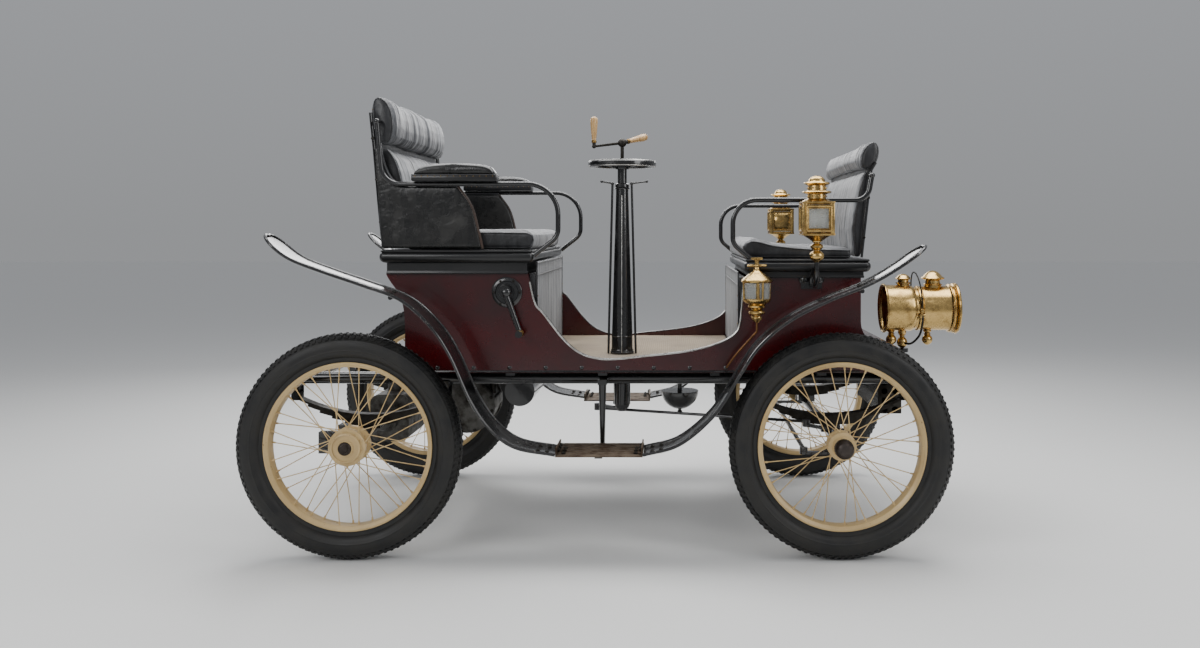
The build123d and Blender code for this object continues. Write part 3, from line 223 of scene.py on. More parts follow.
# Cream oil paint on steel rims, yellowed and rubbed through to brown.
cream = old_paint("cream_wheel_paint", "#C9AE7C", "#AE9262", "#5E3B22", "#B5A07A", 0.4, 0.12, 11, 0.66)


# %% [markdown]
# ### Leather
# Old upholstery hide is black, with a grey bloom where hands and weather have dried the finish. Its lighter
# faded copy, put on the faces turned to the light, is partly real bloom and partly a painted highlight.
# A fine pebble grain lies under long soft creases. The grain is drawn a little coarse so that it shows.

# %% Leather
def old_leather(name, deep, bloom, bloom_from, rough):
    material, tree, shader, place = start_material(name)
    worn = blotches(tree, place, 120, bloom_from, bloom_from + 0.3, detail=7.0)
    streak_place = add_node(tree, "ShaderNodeMapping",
                            {"Vector": place, "Scale": (1.0, 1.0, 0.22)}).outputs[0]
    streaks = blotches(tree, streak_place, 22, 0.4, 0.75, detail=6.0)
    faded = add_node(tree, "ShaderNodeMath", {0: worn, 1: times(tree, streaks, 0.4)}, operation="MAXIMUM")
    tone = mix_colour(tree, faded.outputs[0], linear(deep), linear(bloom))
    tree.links.new(tone, shader.inputs["Base Color"])
    tree.links.new(spread(tree, worn, rough, rough + 0.14), shader.inputs["Roughness"])
    shader.inputs["Sheen Weight"].default_value = 0.25
    shader.inputs["Sheen Roughness"].default_value = 0.4
    shader.inputs["Coat Weight"].default_value = 0.12
    shader.inputs["Coat Roughness"].default_value = 0.3
    pebbles = add_node(tree, "ShaderNodeTexVoronoi", {"Vector": place, "Scale": per_metre(3.2)},
                       feature="SMOOTH_F1").outputs[0]
    creases = add_node(tree, "ShaderNodeTexNoise",
                       {"Vector": place, "Scale": per_metre(34), "Detail": 7.0,
                        "Distortion": 1.2}).outputs[0]
    grain = add_node(tree, "ShaderNodeBump", {"Height": pebbles, "Strength": 0.22, "Distance": 0.0009})
    bump = add_node(tree, "ShaderNodeBump",
                    {"Height": creases, "Strength": 0.4, "Distance": 0.004, "Normal": grain.outputs[0]})
    tree.links.new(bump.outputs[0], shader.inputs["Normal"])
    return material


leather = old_leather("black_upholstery_leather", "#141416", "#4A4B4E", 0.48, 0.42)
# Lighter faded copy for the tops and fronts: partly real bloom, partly a painted highlight where the lamps
# catch the leather.
faded_and_highlit_leather = old_leather("faded_upholstery_leather", "#2A2B2F", "#76787C", 0.44, 0.46)
panel_leather = old_leather("stiff_panel_leather", "#0C0C0C", "#373633", 0.5, 0.24)


# %% [markdown]
# ### Metals, rubber, glass, wood and mat
# Brass keeps its default index of refraction, with brown tarnish in patches. Rubber is dull with dusty
# sidewalls. The mat is coir-like cloth, and the grips are turned boxwood with its fine lengthwise grain.

# %% Metals
def old_metal(name, colour, tarnish, tarnish_from, rough, rough_spread, dent_mm, dent, metallic=1.0):
    material, tree, shader, place = start_material(name)
    stain = blotches(tree, place, 38, tarnish_from, tarnish_from + 0.28, detail=7.0)
    tree.links.new(mix_colour(tree, stain, linear(colour), linear(tarnish)), shader.inputs["Base Color"])
    smears = blotches(tree, place, 16, 0.3, 0.75, detail=5.0)
    both = add_node(tree, "ShaderNodeMath", {0: stain, 1: smears}, operation="MAXIMUM").outputs[0]
    tree.links.new(spread(tree, both, rough, rough + rough_spread), shader.inputs["Roughness"])
    shader.inputs["Metallic"].default_value = metallic
    dents = add_node(tree, "ShaderNodeTexNoise",
                     {"Vector": place, "Scale": per_metre(dent_mm), "Detail": 3.0})
    bump = add_node(tree, "ShaderNodeBump",
                    {"Height": dents.outputs[0], "Strength": dent, "Distance": 0.002})
    tree.links.new(bump.outputs[0], shader.inputs["Normal"])
    return material


brass = old_metal("polished_lamp_brass", "#C4A468", "#6E5330", 0.50, 0.15, 0.22, 24, 0.12)
old_brass = old_metal("tarnished_brass", "#977A4A", "#4F3B20", 0.42, 0.26, 0.25, 20, 0.15)
reflector = old_metal("coppery_lamp_inside", "#8F5E34", "#4E3019", 0.4, 0.3, 0.25, 30, 0.1)
copper = old_metal("dull_copper_pipe", "#86603F", "#4E3525", 0.45, 0.32, 0.2, 8, 0.1)
bright_steel = old_metal("bright_edging_steel", "#C9C8C4", "#8B857C", 0.5, 0.2, 0.25, 18, 0.1)
dark_steel = old_metal("oiled_spring_steel", "#3A3835", "#221D19", 0.45, 0.38, 0.3, 12, 0.25)
step_steel = old_metal("worn_step_steel", "#6E6255", "#3D2F25", 0.4, 0.42, 0.28, 9, 0.35)
cast_alloy = old_metal("sand_cast_alloy", "#6B6A67", "#36312B", 0.42, 0.5, 0.25, 3, 0.4)
hub_metal = old_metal("oily_hub_metal", "#4A4441", "#2A221D", 0.45, 0.4, 0.25, 6, 0.2)


# %% Rubber, glass, wood and mat
def tyre_rubber():
    material, tree, shader, place = start_material("weathered_black_rubber")
    dust = blotches(tree, place, 60, 0.4, 0.8, detail=8.0)
    tree.links.new(mix_colour(tree, dust, linear("#111111"), linear("#2A2824")),
                   shader.inputs["Base Color"])
    tree.links.new(spread(tree, dust, 0.48, 0.72), shader.inputs["Roughness"])
    shader.inputs["Specular IOR Level"].default_value = 0.45
    pores = add_node(tree, "ShaderNodeTexNoise", {"Vector": place, "Scale": per_metre(5), "Detail": 6.0})
    bump = add_node(tree, "ShaderNodeBump",
                    {"Height": pores.outputs[0], "Strength": 0.2, "Distance": 0.0012})
    tree.links.new(bump.outputs[0], shader.inputs["Normal"])
    return material


def lamp_glass():
    material, tree, shader, place = start_material("old_clear_glass")
    shader.inputs["Transmission Weight"].default_value = 0.5
    shader.inputs["Alpha"].default_value = 0.38
    shader.inputs["IOR"].default_value = 1.5
    haze = blotches(tree, place, 30, 0.4, 0.9)
    tree.links.new(mix_colour(tree, haze, linear("#F4F6F2"), linear("#DCE0D6")),
                   shader.inputs["Base Color"])
    tree.links.new(spread(tree, haze, 0.02, 0.12), shader.inputs["Roughness"])
    waves = add_node(tree, "ShaderNodeTexNoise", {"Vector": place, "Scale": per_metre(25), "Detail": 1.0})
    bump = add_node(tree, "ShaderNodeBump",
                    {"Height": waves.outputs[0], "Strength": 0.08, "Distance": 0.002})
    tree.links.new(bump.outputs[0], shader.inputs["Normal"])
    return material


def turned_boxwood():
    material, tree, shader, place = start_material("turned_boxwood")
    along = add_node(tree, "ShaderNodeMapping", {"Vector": place, "Scale": (1.0, 1.0, 0.12)}).outputs[0]
    grain = blotches(tree, along, 5, 0.3, 0.75, detail=6.0)
    tree.links.new(mix_colour(tree, grain, linear("#D8B27A"), linear("#9A6E38")),
                   shader.inputs["Base Color"])
    tree.links.new(spread(tree, grain, 0.32, 0.5), shader.inputs["Roughness"])
    shader.inputs["Coat Weight"].default_value = 0.3
    shader.inputs["Coat Roughness"].default_value = 0.2
    bump = add_node(tree, "ShaderNodeBump", {"Height": grain, "Strength": 0.15, "Distance": 0.0008})
    tree.links.new(bump.outputs[0], shader.inputs["Normal"])
    return material


def woven_mat():
    material, tree, shader, place = start_material("beige_woven_mat")
    soil = blotches(tree, place, 140, 0.35, 0.8, detail=6.0)
    tone = mix_colour(tree, soil, linear("#94836A"), linear("#6C5E4B"))
    warp = add_node(tree, "ShaderNodeTexWave", {"Vector": place, "Scale": per_metre(24), "Distortion": 0.6},
                    bands_direction="X").outputs[1]
    weft = add_node(tree, "ShaderNodeTexWave", {"Vector": place, "Scale": per_metre(24), "Distortion": 0.6},
                    bands_direction="Y").outputs[1]
    cloth = times(tree, warp, weft)
    tree.links.new(mix_colour(tree, times(tree, cloth, 0.5), tone, linear("#5E503E")),
                   shader.inputs["Base Color"])
    shader.inputs["Roughness"].default_value = 0.92
    shader.inputs["Sheen Weight"].default_value = 0.3
    bump = add_node(tree, "ShaderNodeBump", {"Height": cloth, "Strength": 0.6, "Distance": 0.002})
    tree.links.new(bump.outputs[0], shader.inputs["Normal"])
    return material


rubber, glass, boxwood, mat_cloth = tyre_rubber(), lamp_glass(), turned_boxwood(), woven_mat()

floor_material, _, floor_shader, _ = start_material("pale_studio_floor")
floor_shader.inputs["Base Color"].default_value = linear("#DDDDDB")
floor_shader.inputs["Roughness"].default_value = 0.6
floor.data.materials.append(floor_material)
world = bpy.data.worlds.new("soft_studio")
world.use_nodes = True
sky = world.node_tree
aim = add_node(sky, "ShaderNodeSeparateXYZ",
               {"Vector": add_node(sky, "ShaderNodeTexCoord").outputs["Generated"]})
rise = add_node(sky, "ShaderNodeMapRange", {"Value": aim.outputs["Z"], "From Min": 0.0, "From Max": 0.4})
shade = mix_colour(sky, rise.outputs[0], linear("#C6C8CB"), linear("#DDE0E6"))
sky.links.new(shade, sky.nodes["Background"].inputs["Color"])
world.node_tree.nodes["Background"].inputs["Strength"].default_value = 0.55
bpy.context.scene.world = world

FINISH = {
    "burgundy_coachwork": burgundy, "floor_wood": lacquer, "seat_frame_black": lacquer,
    "floor_mat": mat_cloth,
    "black_leather": leather, "black_enamel": enamel, "spring_steel": dark_steel, "step_steel": step_steel,
    "cast_casing": cast_alloy, "radiator_metal": enamel, "wheel_cream": cream, "tyre_rubber": rubber,
    "lamp_brass": brass, "lamp_glass": glass, "copper": copper, "lever_steel": dark_steel,
    "boxwood": boxwood,
}
for subpart in frame["record"]["subparts"]:
    node = frame["nodes"][subpart["node"]]
    node.data.materials.clear()
    node.data.materials.append(FINISH[subpart["material_slot"]])
print(len(frame["nodes"]), "CAD nodes painted with", len(FINISH), "finishes")


# %% [markdown]
# ## Making shapes
# Most of the car is turned, drawn or bent metal, so three small makers cover it: a lathe for turned work,
# a tube for bars and wires, and a plate with rounded edges. They take millimetres in the car's own frame
# and add to one mesh, so a lamp or a hub is one joined piece.

# %% Turned work, bars and plates
def frame_at(origin, axis):
    """Places local Z along an axis, in metres, with its origin given in millimetres."""
    turn = Vector(axis).to_track_quat("Z", "Y").to_matrix().to_4x4()
    return Matrix.Translation(Vector(origin) * MM) @ turn


def add_lathe(bm, outline, origin=(0, 0, 0), axis=(0, 0, 1), steps=40, material=0):
    """Turns an outline of (radius, height) points; a radius of 0 closes the end."""
    place = frame_at(origin, axis)
    rings = []
    for radius, height in outline:
        if radius == 0:
            rings.append([bm.verts.new(place @ Vector((0, 0, height * MM)))])
            continue
        ring = []
        for i in range(steps):
            angle = 2 * math.pi * i / steps
            spot = Vector((radius * math.cos(angle), radius * math.sin(angle), height)) * MM
            ring.append(bm.verts.new(place @ spot))
        rings.append(ring)
    join_rings(bm, rings, material)


def join_rings(bm, rings, material=0, closed=False):
    """Skins a row of rings; a ring of one vertex is a pole."""
    pairs = list(zip(rings, rings[1:]))
    if closed:
        pairs.append((rings[-1], rings[0]))
    for low, high in pairs:
        count = max(len(low), len(high))
        for i in range(count):
            j = (i + 1) % count
            corners = [low[i % len(low)], low[j % len(low)], high[j % len(high)], high[i % len(high)]]
            unique = list(dict.fromkeys(corners))
            if len(unique) > 2:
                bm.faces.new(unique).material_index = material


def add_tube(bm, points, radius, sides=12, material=0, closed=False, flat=1.0):
    """A bar along points, with one radius or a radius for each point; flat squashes it across."""
    path = [Vector(p) * MM for p in points]
    radii = radius if isinstance(radius, (list, tuple)) else [radius] * len(path)
    count = len(path)
    across, rings = None, []
    for i, point in enumerate(path):
        before = path[i - 1] if i > 0 or closed else point
        after = path[(i + 1) % count] if i < count - 1 or closed else point
        ahead = (after - before).normalized()
        if across is None:
            across = ahead.orthogonal().normalized()
        across = (across - ahead * across.dot(ahead)).normalized()
        up = ahead.cross(across)
        ring = []
        for k in range(sides):
            angle = 2 * math.pi * k / sides
            offset = across * math.cos(angle) + up * math.sin(angle) * flat
            ring.append(bm.verts.new(point + offset * radii[i] * MM))
        rings.append(ring)
    if not closed:
        rings = [[bm.verts.new(path[0])]] + rings + [[bm.verts.new(path[-1])]]
    join_rings(bm, rings, material, closed)


def smooth_path(points, steps=6):
    """Points along a smooth curve through the given ones."""
    knots = [Vector(p) for p in points]
    knots = [knots[0] * 2 - knots[1]] + knots + [knots[-1] * 2 - knots[-2]]
    path = []
    for a, b, c, d in zip(knots, knots[1:], knots[2:], knots[3:]):
        for i in range(steps):
            t = i / steps
            path.append(0.5 * (2 * b + (c - a) * t + (2 * a - 5 * b + 4 * c - d) * t ** 2
                               + (3 * b - a - 3 * c + d) * t ** 3))
    return path + [knots[-2]]


def add_plate(bm, low, high, edge=1.0, material=0, turn=None):
    """A box from corner to corner with rounded edges, turned about its middle if asked."""
    middle, size = (Vector(low) + Vector(high)) / 2, Vector(high) - Vector(low)
    matrix = Matrix.Translation(middle * MM) @ (turn or Matrix.Identity(4)) @ Matrix.Diagonal((*size * MM,
                                                                                               1))
    made = bmesh.ops.create_cube(bm, size=1.0, matrix=matrix)
    edges = list({e for v in made["verts"] for e in v.link_edges})
    for face in {f for v in made["verts"] for f in v.link_faces}:
        face.material_index = material
    if edge:
        bmesh.ops.bevel(bm, geom=edges, offset=edge * MM, segments=2, profile=0.5, affect="EDGES",
                        material=-1, clamp_overlap=True)


def add_nut(bm, origin, axis, across, height, material=0):
    """A hexagonal nut or bolt head with a small domed end."""
    half = across / math.sqrt(3)
    add_lathe(bm, [(0, 0), (half, 0), (half, height * 0.85), (half * 0.86, height), (0, height)],
              origin, axis, 6, material)
    add_lathe(bm, [(0, height), (half * 0.5, height), (half * 0.4, height * 1.35), (0, height * 1.4)],
              origin, axis, 10, material)


# %% Pieces
def shade_smooth(mesh):
    mesh.polygons.foreach_set("use_smooth", [True] * len(mesh.polygons))


def to_mesh(bm, name, materials, crease=35):
    bmesh.ops.remove_doubles(bm, verts=bm.verts, dist=0.00001)
    bmesh.ops.recalc_face_normals(bm, faces=bm.faces)
    mesh = bpy.data.meshes.new(name)
    bm.to_mesh(mesh)
    bm.free()
    for material in materials:
        mesh.materials.append(material)
    shade_smooth(mesh)
    mesh.set_sharp_from_angle(angle=math.radians(crease))
    return mesh


def as_object(name, mesh):
    made = bpy.data.objects.new(name, mesh)
    bpy.context.scene.collection.objects.link(made)
    return made


def settle(made, body, stands_for=()):
    """Gives a piece its body and the CAD nodes that it stands for."""
    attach(made, body)
    if stands_for:
        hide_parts(*stands_for)
    return made


def piece(name, bm, materials, body, stands_for=(), crease=35):
    return settle(as_object(name, to_mesh(bm, name, materials, crease)), body, stands_for)


# %% [markdown]
# ### Two small geometry trees
# What repeats round a shaft (spokes, bolts, tread lugs) is one shape copied by a ring tree.
# What repeats along a line (nails, gills, rivets) is one shape copied by a row tree.
# Both realize their copies, so the result is a plain mesh.

# %% Ring and row trees
def start_tree(name, sizes):
    """An empty tree: a shape, its sizes and a material go in, and a shape comes out."""
    tree = bpy.data.node_groups.new(name, "GeometryNodeTree")
    for label, kind in {"Geometry": "Geometry", **sizes, "Material": "Material"}.items():
        tree.interface.new_socket(label, in_out="INPUT", socket_type="NodeSocket" + kind)
    tree.interface.new_socket("Geometry", in_out="OUTPUT", socket_type="NodeSocketGeometry")
    return tree, add_node(tree, "NodeGroupInput").outputs


def finish_tree(tree, given, points, turn):
    """A copy of the shape on each point, made real and painted."""
    copies = add_node(tree, "GeometryNodeInstanceOnPoints",
                      {"Points": points, "Instance": given["Geometry"], "Rotation": turn})
    real = add_node(tree, "GeometryNodeRealizeInstances", {0: copies.outputs[0]})
    painted = add_node(tree, "GeometryNodeSetMaterial", {0: real.outputs[0], "Material": given["Material"]})
    add_node(tree, "NodeGroupOutput", {"Geometry": painted.outputs[0]})
    return tree


def ring_tree():
    """Copies the incoming shape round the Y axis through the origin."""
    tree, given = start_tree("ring_of_copies", {"Count": "Int", "First Angle": "Float"})
    here = add_node(tree, "GeometryNodeMeshLine", {"Count": given["Count"], "Offset": (0, 0, 0)})
    index = add_node(tree, "GeometryNodeInputIndex").outputs[0]
    share = add_node(tree, "ShaderNodeMath", {0: index, 1: given["Count"]}, operation="DIVIDE").outputs[0]
    angle = add_node(tree, "ShaderNodeMath", {0: share, 1: 2 * math.pi, 2: given["First Angle"]},
                     operation="MULTIPLY_ADD").outputs[0]
    turn = add_node(tree, "ShaderNodeCombineXYZ", {"Y": angle}).outputs[0]
    return finish_tree(tree, given, here.outputs[0], turn)


def row_tree():
    """Copies the incoming shape along a straight row, with a fixed-seed wobble in turn about Z."""
    tree, given = start_tree("row_of_copies", {"Count": "Int", "Step": "Vector", "Wobble": "Float"})
    row = add_node(tree, "GeometryNodeMeshLine", {"Count": given["Count"], "Offset": given["Step"]})
    low = add_node(tree, "ShaderNodeMath", {0: given["Wobble"], 1: -1.0}, operation="MULTIPLY").outputs[0]
    wobble = add_node(tree, "FunctionNodeRandomValue", {2: low, 3: given["Wobble"], "Seed": 7}).outputs[1]
    turn = add_node(tree, "ShaderNodeCombineXYZ", {"Z": wobble}).outputs[0]
    return finish_tree(tree, given, row.outputs[0], turn)


def grow(bm, tree, **inputs):
    """Runs a tree on a shape and returns the plain mesh that comes out."""
    source = as_object("source", to_mesh(bm, "source", []))
    modifier = source.modifiers.new("grow", "NODES")
    modifier.node_group = tree
    for item in tree.interface.items_tree:
        key = item.name.replace(" ", "_").lower()
        if item.in_out == "INPUT" and key in inputs:
            modifier[item.identifier] = inputs[key]
    graph = bpy.context.evaluated_depsgraph_get()
    mesh = bpy.data.meshes.new_from_object(source.evaluated_get(graph))
    bpy.data.objects.remove(source)
    return mesh


def add_mesh(bm, mesh, move=(0, 0, 0), material=0):
    """Joins a plain mesh into a shape that is being made."""
    before = set(bm.faces)
    mesh.transform(Matrix.Translation(Vector(move) * MM))
    bm.from_mesh(mesh)
    for face in bm.faces:
        if face not in before:
            face.material_index = material
    bpy.data.meshes.remove(mesh)


ring, row = ring_tree(), row_tree()


# %% [markdown]
# ## Wheels
# Each wheel is a rolled steel rim laced to a turned hub with crossed wire spokes, and carries a fat tyre.
# The lacing follows a rule: every flange sends half of its spokes forwards and half back, so four single
# spokes, one for each family, are copied round by the ring tree. The wheel is made once for each end of the
# car with its outboard face at +Y, and turned over for the right-hand side.

# %% Rim, spokes and hubs
RIM_LIP_R, RIM_BED_R, RIM_HALF = 264, 247, 29
SPOKE_LEAN = math.radians(38)


def add_rim(bm):
    w = RIM_HALF
    outline = [(RIM_LIP_R, -w + 2), (RIM_LIP_R - 1.5, -w), (RIM_LIP_R - 6, -w - 0.5),
               (RIM_BED_R + 9, -w + 1),
               (RIM_BED_R + 2, -w + 6), (RIM_BED_R, -w + 13), (RIM_BED_R + 0.5, 0), (RIM_BED_R, w - 13),
               (RIM_BED_R + 2, w - 6), (RIM_BED_R + 9, w - 1), (RIM_LIP_R - 6, w + 0.5),
               (RIM_LIP_R - 1.5, w),
               (RIM_LIP_R, w - 2), (RIM_LIP_R - 4, w - 4), (RIM_BED_R + 8, w - 8), (RIM_BED_R + 8, -w + 8),
               (RIM_LIP_R - 4, -w + 4), (RIM_LIP_R, -w + 2)]
    add_lathe(bm, outline, axis=(0, 1, 0), steps=112)


def add_spokes(bm, flange_r, flange_y, count):
    """Four families of spokes with their nipples; the two flanges are staggered by half a step."""
    for flange, side in enumerate((-1, 1)):
        for way in (-1, 1):
            lean, step = way * SPOKE_LEAN, 2 * math.pi / (count / 2)
            head = Vector((flange_r, side * (flange_y + way * 3), 0))
            rim = Vector(((RIM_BED_R + 2) * math.cos(lean), side * 8, (RIM_BED_R + 2) * math.sin(lean)))
            inward = (head - rim).normalized()
            spoke = bmesh.new()
            add_tube(spoke, [head, head.lerp(rim, 0.06), head.lerp(rim, 0.1), rim], [2.1, 2.1, 1.6, 1.6], 8)
            add_tube(spoke, [rim, rim + inward * 11, rim + inward * 13], [3.4, 2.9, 1.8], 8)
            add_lathe(spoke, [(0, 0), (3.6, 0), (3.2, 1.6), (0, 2.4)],
                      head + Vector((0, side * way * 1.2, 0)), (0, side * way, 0), 8)
            first = step * (flange / 2 + (0 if way < 0 else 1))
            add_mesh(bm, grow(spoke, ring, count=count // 4, first_angle=first, material=cream))


def rear_hub(bm):
    """A wide drum with a riveted inboard flange, a ringed cap and a dark axle nut."""
    add_lathe(bm, [(17, -30), (40, -36), (57, -34), (58, -32), (58, -23), (56, -20), (46, -19), (40, -16),
                   (38, 0), (40, 16), (46, 19), (56, 20), (58, 22), (58, 34), (55, 37), (47, 38), (46, 41),
                   (46, 48), (44, 50), (41, 51), (41, 47), (34, 46), (26, 48), (25, 54), (24, 55),
                   (19, 55)],
              axis=(0, 1, 0), steps=64)
    bolt = bmesh.new()
    add_nut(bolt, (50, 36, 0), (0, 1, 0), 9, 3.4)
    add_mesh(bm, grow(bolt, ring, count=10, first_angle=0.2, material=cream))
    lug = bmesh.new()
    add_plate(lug, (44, -14, -5), (50, 14, 5), 1.5)
    add_mesh(bm, grow(lug, ring, count=10, first_angle=0.0, material=cream))


def front_hub(bm):
    add_lathe(bm, [(15.5, -30), (28, -30), (30, -28), (42, -27.5), (44, -26), (44, -18), (42, -16.5),
                   (30, -15),
                   (26, -9), (25, 0), (26, 9), (30, 15), (42, 16.5), (44, 18), (44, 26), (42, 27.5),
                   (33, 29),
                   (31, 36), (30, 44), (27, 46), (20, 46)], axis=(0, 1, 0), steps=56)


def axle_cap(end):
    bm = bmesh.new()
    if end == "rear":
        add_lathe(bm, [(21, 50), (21, 56), (18.5, 60), (14, 62), (13, 66), (9, 68), (0, 68)],
                  axis=(0, 1, 0), steps=36)
        add_nut(bm, (0, 58, 0), (0, 1, 0), 26, 6)
    else:
        add_lathe(bm, [(24, 40), (28.5, 44), (29.5, 48), (29.5, 70), (27, 76), (24, 79), (23, 84), (18, 88),
                       (9, 90), (0, 90)], axis=(0, 1, 0), steps=44)
        flute = bmesh.new()
        add_tube(flute, [(29.3, 50, 0), (29.3, 68, 0)], 1.2, 6)
        add_mesh(bm, grow(flute, ring, count=24, first_angle=0.0, material=hub_metal))
    return to_mesh(bm, f"{end}_axle_cap", [hub_metal])


def wire_wheel(end):
    bm = bmesh.new()
    add_rim(bm)
    if end == "rear":
        rear_hub(bm)
        add_spokes(bm, 52, 28, 40)
    else:
        front_hub(bm)
        add_spokes(bm, 38, 22, 36)
    return to_mesh(bm, f"{end}_wire_wheel", [cream])


# %% [markdown]
# ### Tyres
# A fat early tyre: a round section, a raised line on each sidewall, a ribbed crown and a row of small
# blocks on each shoulder. The blocks stay just inside the CAD radius, so the car stands at its own height.

# %% Tyre
SECTION_R, TYRE_CENTRE_R = 45, 310


def section_point(angle, lift=0.0):
    """A point on the tyre's round section, from its crown at 0; returns (across, radius)."""
    return (SECTION_R + lift) * math.sin(angle), TYRE_CENTRE_R + (SECTION_R + lift) * math.cos(angle)


def tyre():
    outline = []
    for degree in range(-142, 143, 4):
        lift = -2.6
        if abs(degree) in (58, 102):
            lift = -1.2
        if degree in (-10, 10, -26, 26):
            lift = -4.2
        if abs(degree) > 120:
            lift = -2.6 - (abs(degree) - 120) * 0.05
        across, radius = section_point(math.radians(degree), lift)
        outline.append((radius, across))
    outline = [(RIM_LIP_R - 7, -22)] + outline + [(RIM_LIP_R - 7, 22), (RIM_LIP_R - 7, -22)]
    bm = bmesh.new()
    add_lathe(bm, outline, axis=(0, 1, 0), steps=128)
    for side in (-1, 1):
        for low, high, phase, length in ((33, 50, 0.0, 9.5), (12, 24, 0.5, 8.0)):
            block = bmesh.new()
            rows = []
            for degree in (low, (low + high) / 2, high):
                across, outer = section_point(math.radians(degree), -0.1)
                across_in, inner = section_point(math.radians(degree), -4.0)
                slant = (degree - low) * 0.16
                rows.append([(outer, side * across, -length / 2 + slant),
                             (outer, side * across, length / 2 + slant),
                             (inner, side * across_in, length / 2 + 1 + slant),
                             (inner, side * across_in, -length / 2 - 1 + slant)])
            rings = [[block.verts.new(Vector(p) * MM) for p in points] for points in rows]
            join_rings(block, rings)
            block.faces.new(rings[0])
            block.faces.new(rings[-1])
            copies = 104
            add_mesh(bm, grow(block, ring, count=copies, first_angle=phase * 2 * math.pi / copies,
                              material=rubber))
    return to_mesh(bm, "block_tread_tyre", [rubber], crease=30)


def on_car(mesh, node, left):
    """A copy of a wheel mesh at its place on the car, turned over for the right-hand side."""
    made = mesh.copy()
    if not left:
        made.transform(Matrix.Diagonal((1, -1, 1, 1)))
        made.flip_normals()
    made.transform(Matrix.Translation(centre_of(node)))
    return made


tyre_mesh = tyre()
for end in ("rear", "front"):
    wheel_mesh, cap_mesh = wire_wheel(end), axle_cap(end)
    for side in ("left", "right"):
        body, left = f"{end}_{side}_wheel", side == "left"
        at = f"{end}_{side}_tyre"
        settle(as_object(f"{at}_treaded", on_car(tyre_mesh, at, left)), body, [at])
        settle(as_object(f"{body}_laced", on_car(wheel_mesh, at, left)), body, [body])
        settle(as_object(f"{body}_cap", on_car(cap_mesh, at, left)), body)
    print(end, "wheel faces", len(wheel_mesh.polygons), "tyre faces", len(tyre_mesh.polygons))


# %% [markdown]
# ## Upholstery
# The seats are buttonless early coachwork: black leather over hair stuffing, bloomed to grey where the sun
# and dust reach it. That grey on the tops and fronts is also a painted highlight where the light falls.
# Stuffing pushes from inside against leather that can't stretch, so the pads are made the same way. A closed
# shell is remeshed to an even grain, swollen by Cloth pressure with gravity off, and stopped when it has
# moved as far as the leather lets it. Gathers and piping are added afterwards, because the remesh would wipe
# them out.

# %% A stuffed pad
from mathutils.bvhtree import BVHTree

VOXEL, SWELL_FRAMES = 6, 20


def inset(outline, depth):
    """Moves a closed outline of (x, z) points inwards."""
    count = len(outline)
    area = sum(a[0] * b[1] - b[0] * a[1] for a, b in zip(outline, outline[1:] + outline[:1]))
    way = 1 if area > 0 else -1
    moved = []
    for i, point in enumerate(outline):
        before, after = Vector(outline[i - 1]), Vector(outline[(i + 1) % count])
        along = (Vector(point) - before).normalized() + (after - Vector(point)).normalized()
        along = along.normalized() if along.length > 1e-6 else Vector((1, 0))
        moved.append((point[0] - way * along.y * depth, point[1] + way * along.x * depth))
    return moved


def add_shell(bm, outline, y_low, y_high, corner, material=0):
    """A closed shell from an outline in X and Z, with its ends rounded by a corner radius."""
    ends = [(0.0, 1.0), (0.12, 0.55), (0.4, 0.2), (1.0, 0.0)]
    sections = [(y_low + share * corner, depth * corner) for share, depth in ends]
    sections += [(y_high - share * corner, depth * corner) for share, depth in reversed(ends)]
    rings = [[bm.verts.new(Vector((x, y, z)) * MM) for x, z in inset(outline, depth)] for y,
             depth in sections]
    join_rings(bm, rings, material)
    for ring_of_ends in (rings[0], rings[-1]):
        bm.faces.new(ring_of_ends).material_index = material


def evaluated_mesh(made):
    graph = bpy.context.evaluated_depsgraph_get()
    return bpy.data.meshes.new_from_object(made.evaluated_get(graph))


def baked(made):
    """Turns a piece's modifiers into plain mesh."""
    mesh = evaluated_mesh(made)
    made.modifiers.clear()
    made.data = mesh
    return mesh


def stuff(made, cap, voxel=VOXEL, floor_z=None):
    """Swells a shell with pressure, at most cap millimetres anywhere, and rests it on floor_z."""
    remesh = made.modifiers.new("grain", "REMESH")
    remesh.mode, remesh.voxel_size = "VOXEL", voxel * MM
    baked(made)
    start = [vertex.co.copy() for vertex in made.data.vertices]
    cloth = made.modifiers.new("stuffing", "CLOTH")
    cloth.settings.use_pressure = True
    cloth.settings.uniform_pressure_force = 4.0
    cloth.settings.effector_weights.gravity = 0.0
    cloth.settings.quality = 4
    for frame_number in range(1, SWELL_FRAMES + 1):
        bpy.context.scene.frame_set(frame_number)
    mesh = baked(made)
    for vertex, first in zip(mesh.vertices, start):
        step = vertex.co - first
        if step.length > cap * MM:
            vertex.co = first + step.normalized() * cap * MM
    bpy.context.scene.frame_set(1)
    made.modifiers.new("finer", "SUBSURF").levels = 1
    made.modifiers["finer"].render_levels = 1
    mesh = baked(made)
    if floor_z is not None:
        for vertex in mesh.vertices:
            vertex.co.z = max(vertex.co.z, floor_z * MM)
    return mesh


def crease(mesh, depth, pitch, seed, weight=lambda co: 1.0, stretch=0.14):
    """Gathers the leather in folds that run up and down; pitch is the distance between folds."""
    mesh.update()
    moves = []
    for vertex in mesh.vertices:
        co = vertex.co
        across, along = co.y / (pitch * MM), (co.z + co.x) / (pitch * MM) * stretch
        fold = noise.noise(Vector((across + seed, along, seed * 0.7)))
        fine = noise.noise(Vector((across * 3.1 + seed, along * 2.4, seed * 1.9)))
        moves.append(vertex.normal * (fold + 0.3 * fine) * depth * MM * weight(co))
    for vertex, move in zip(mesh.vertices, moves):
        vertex.co += move


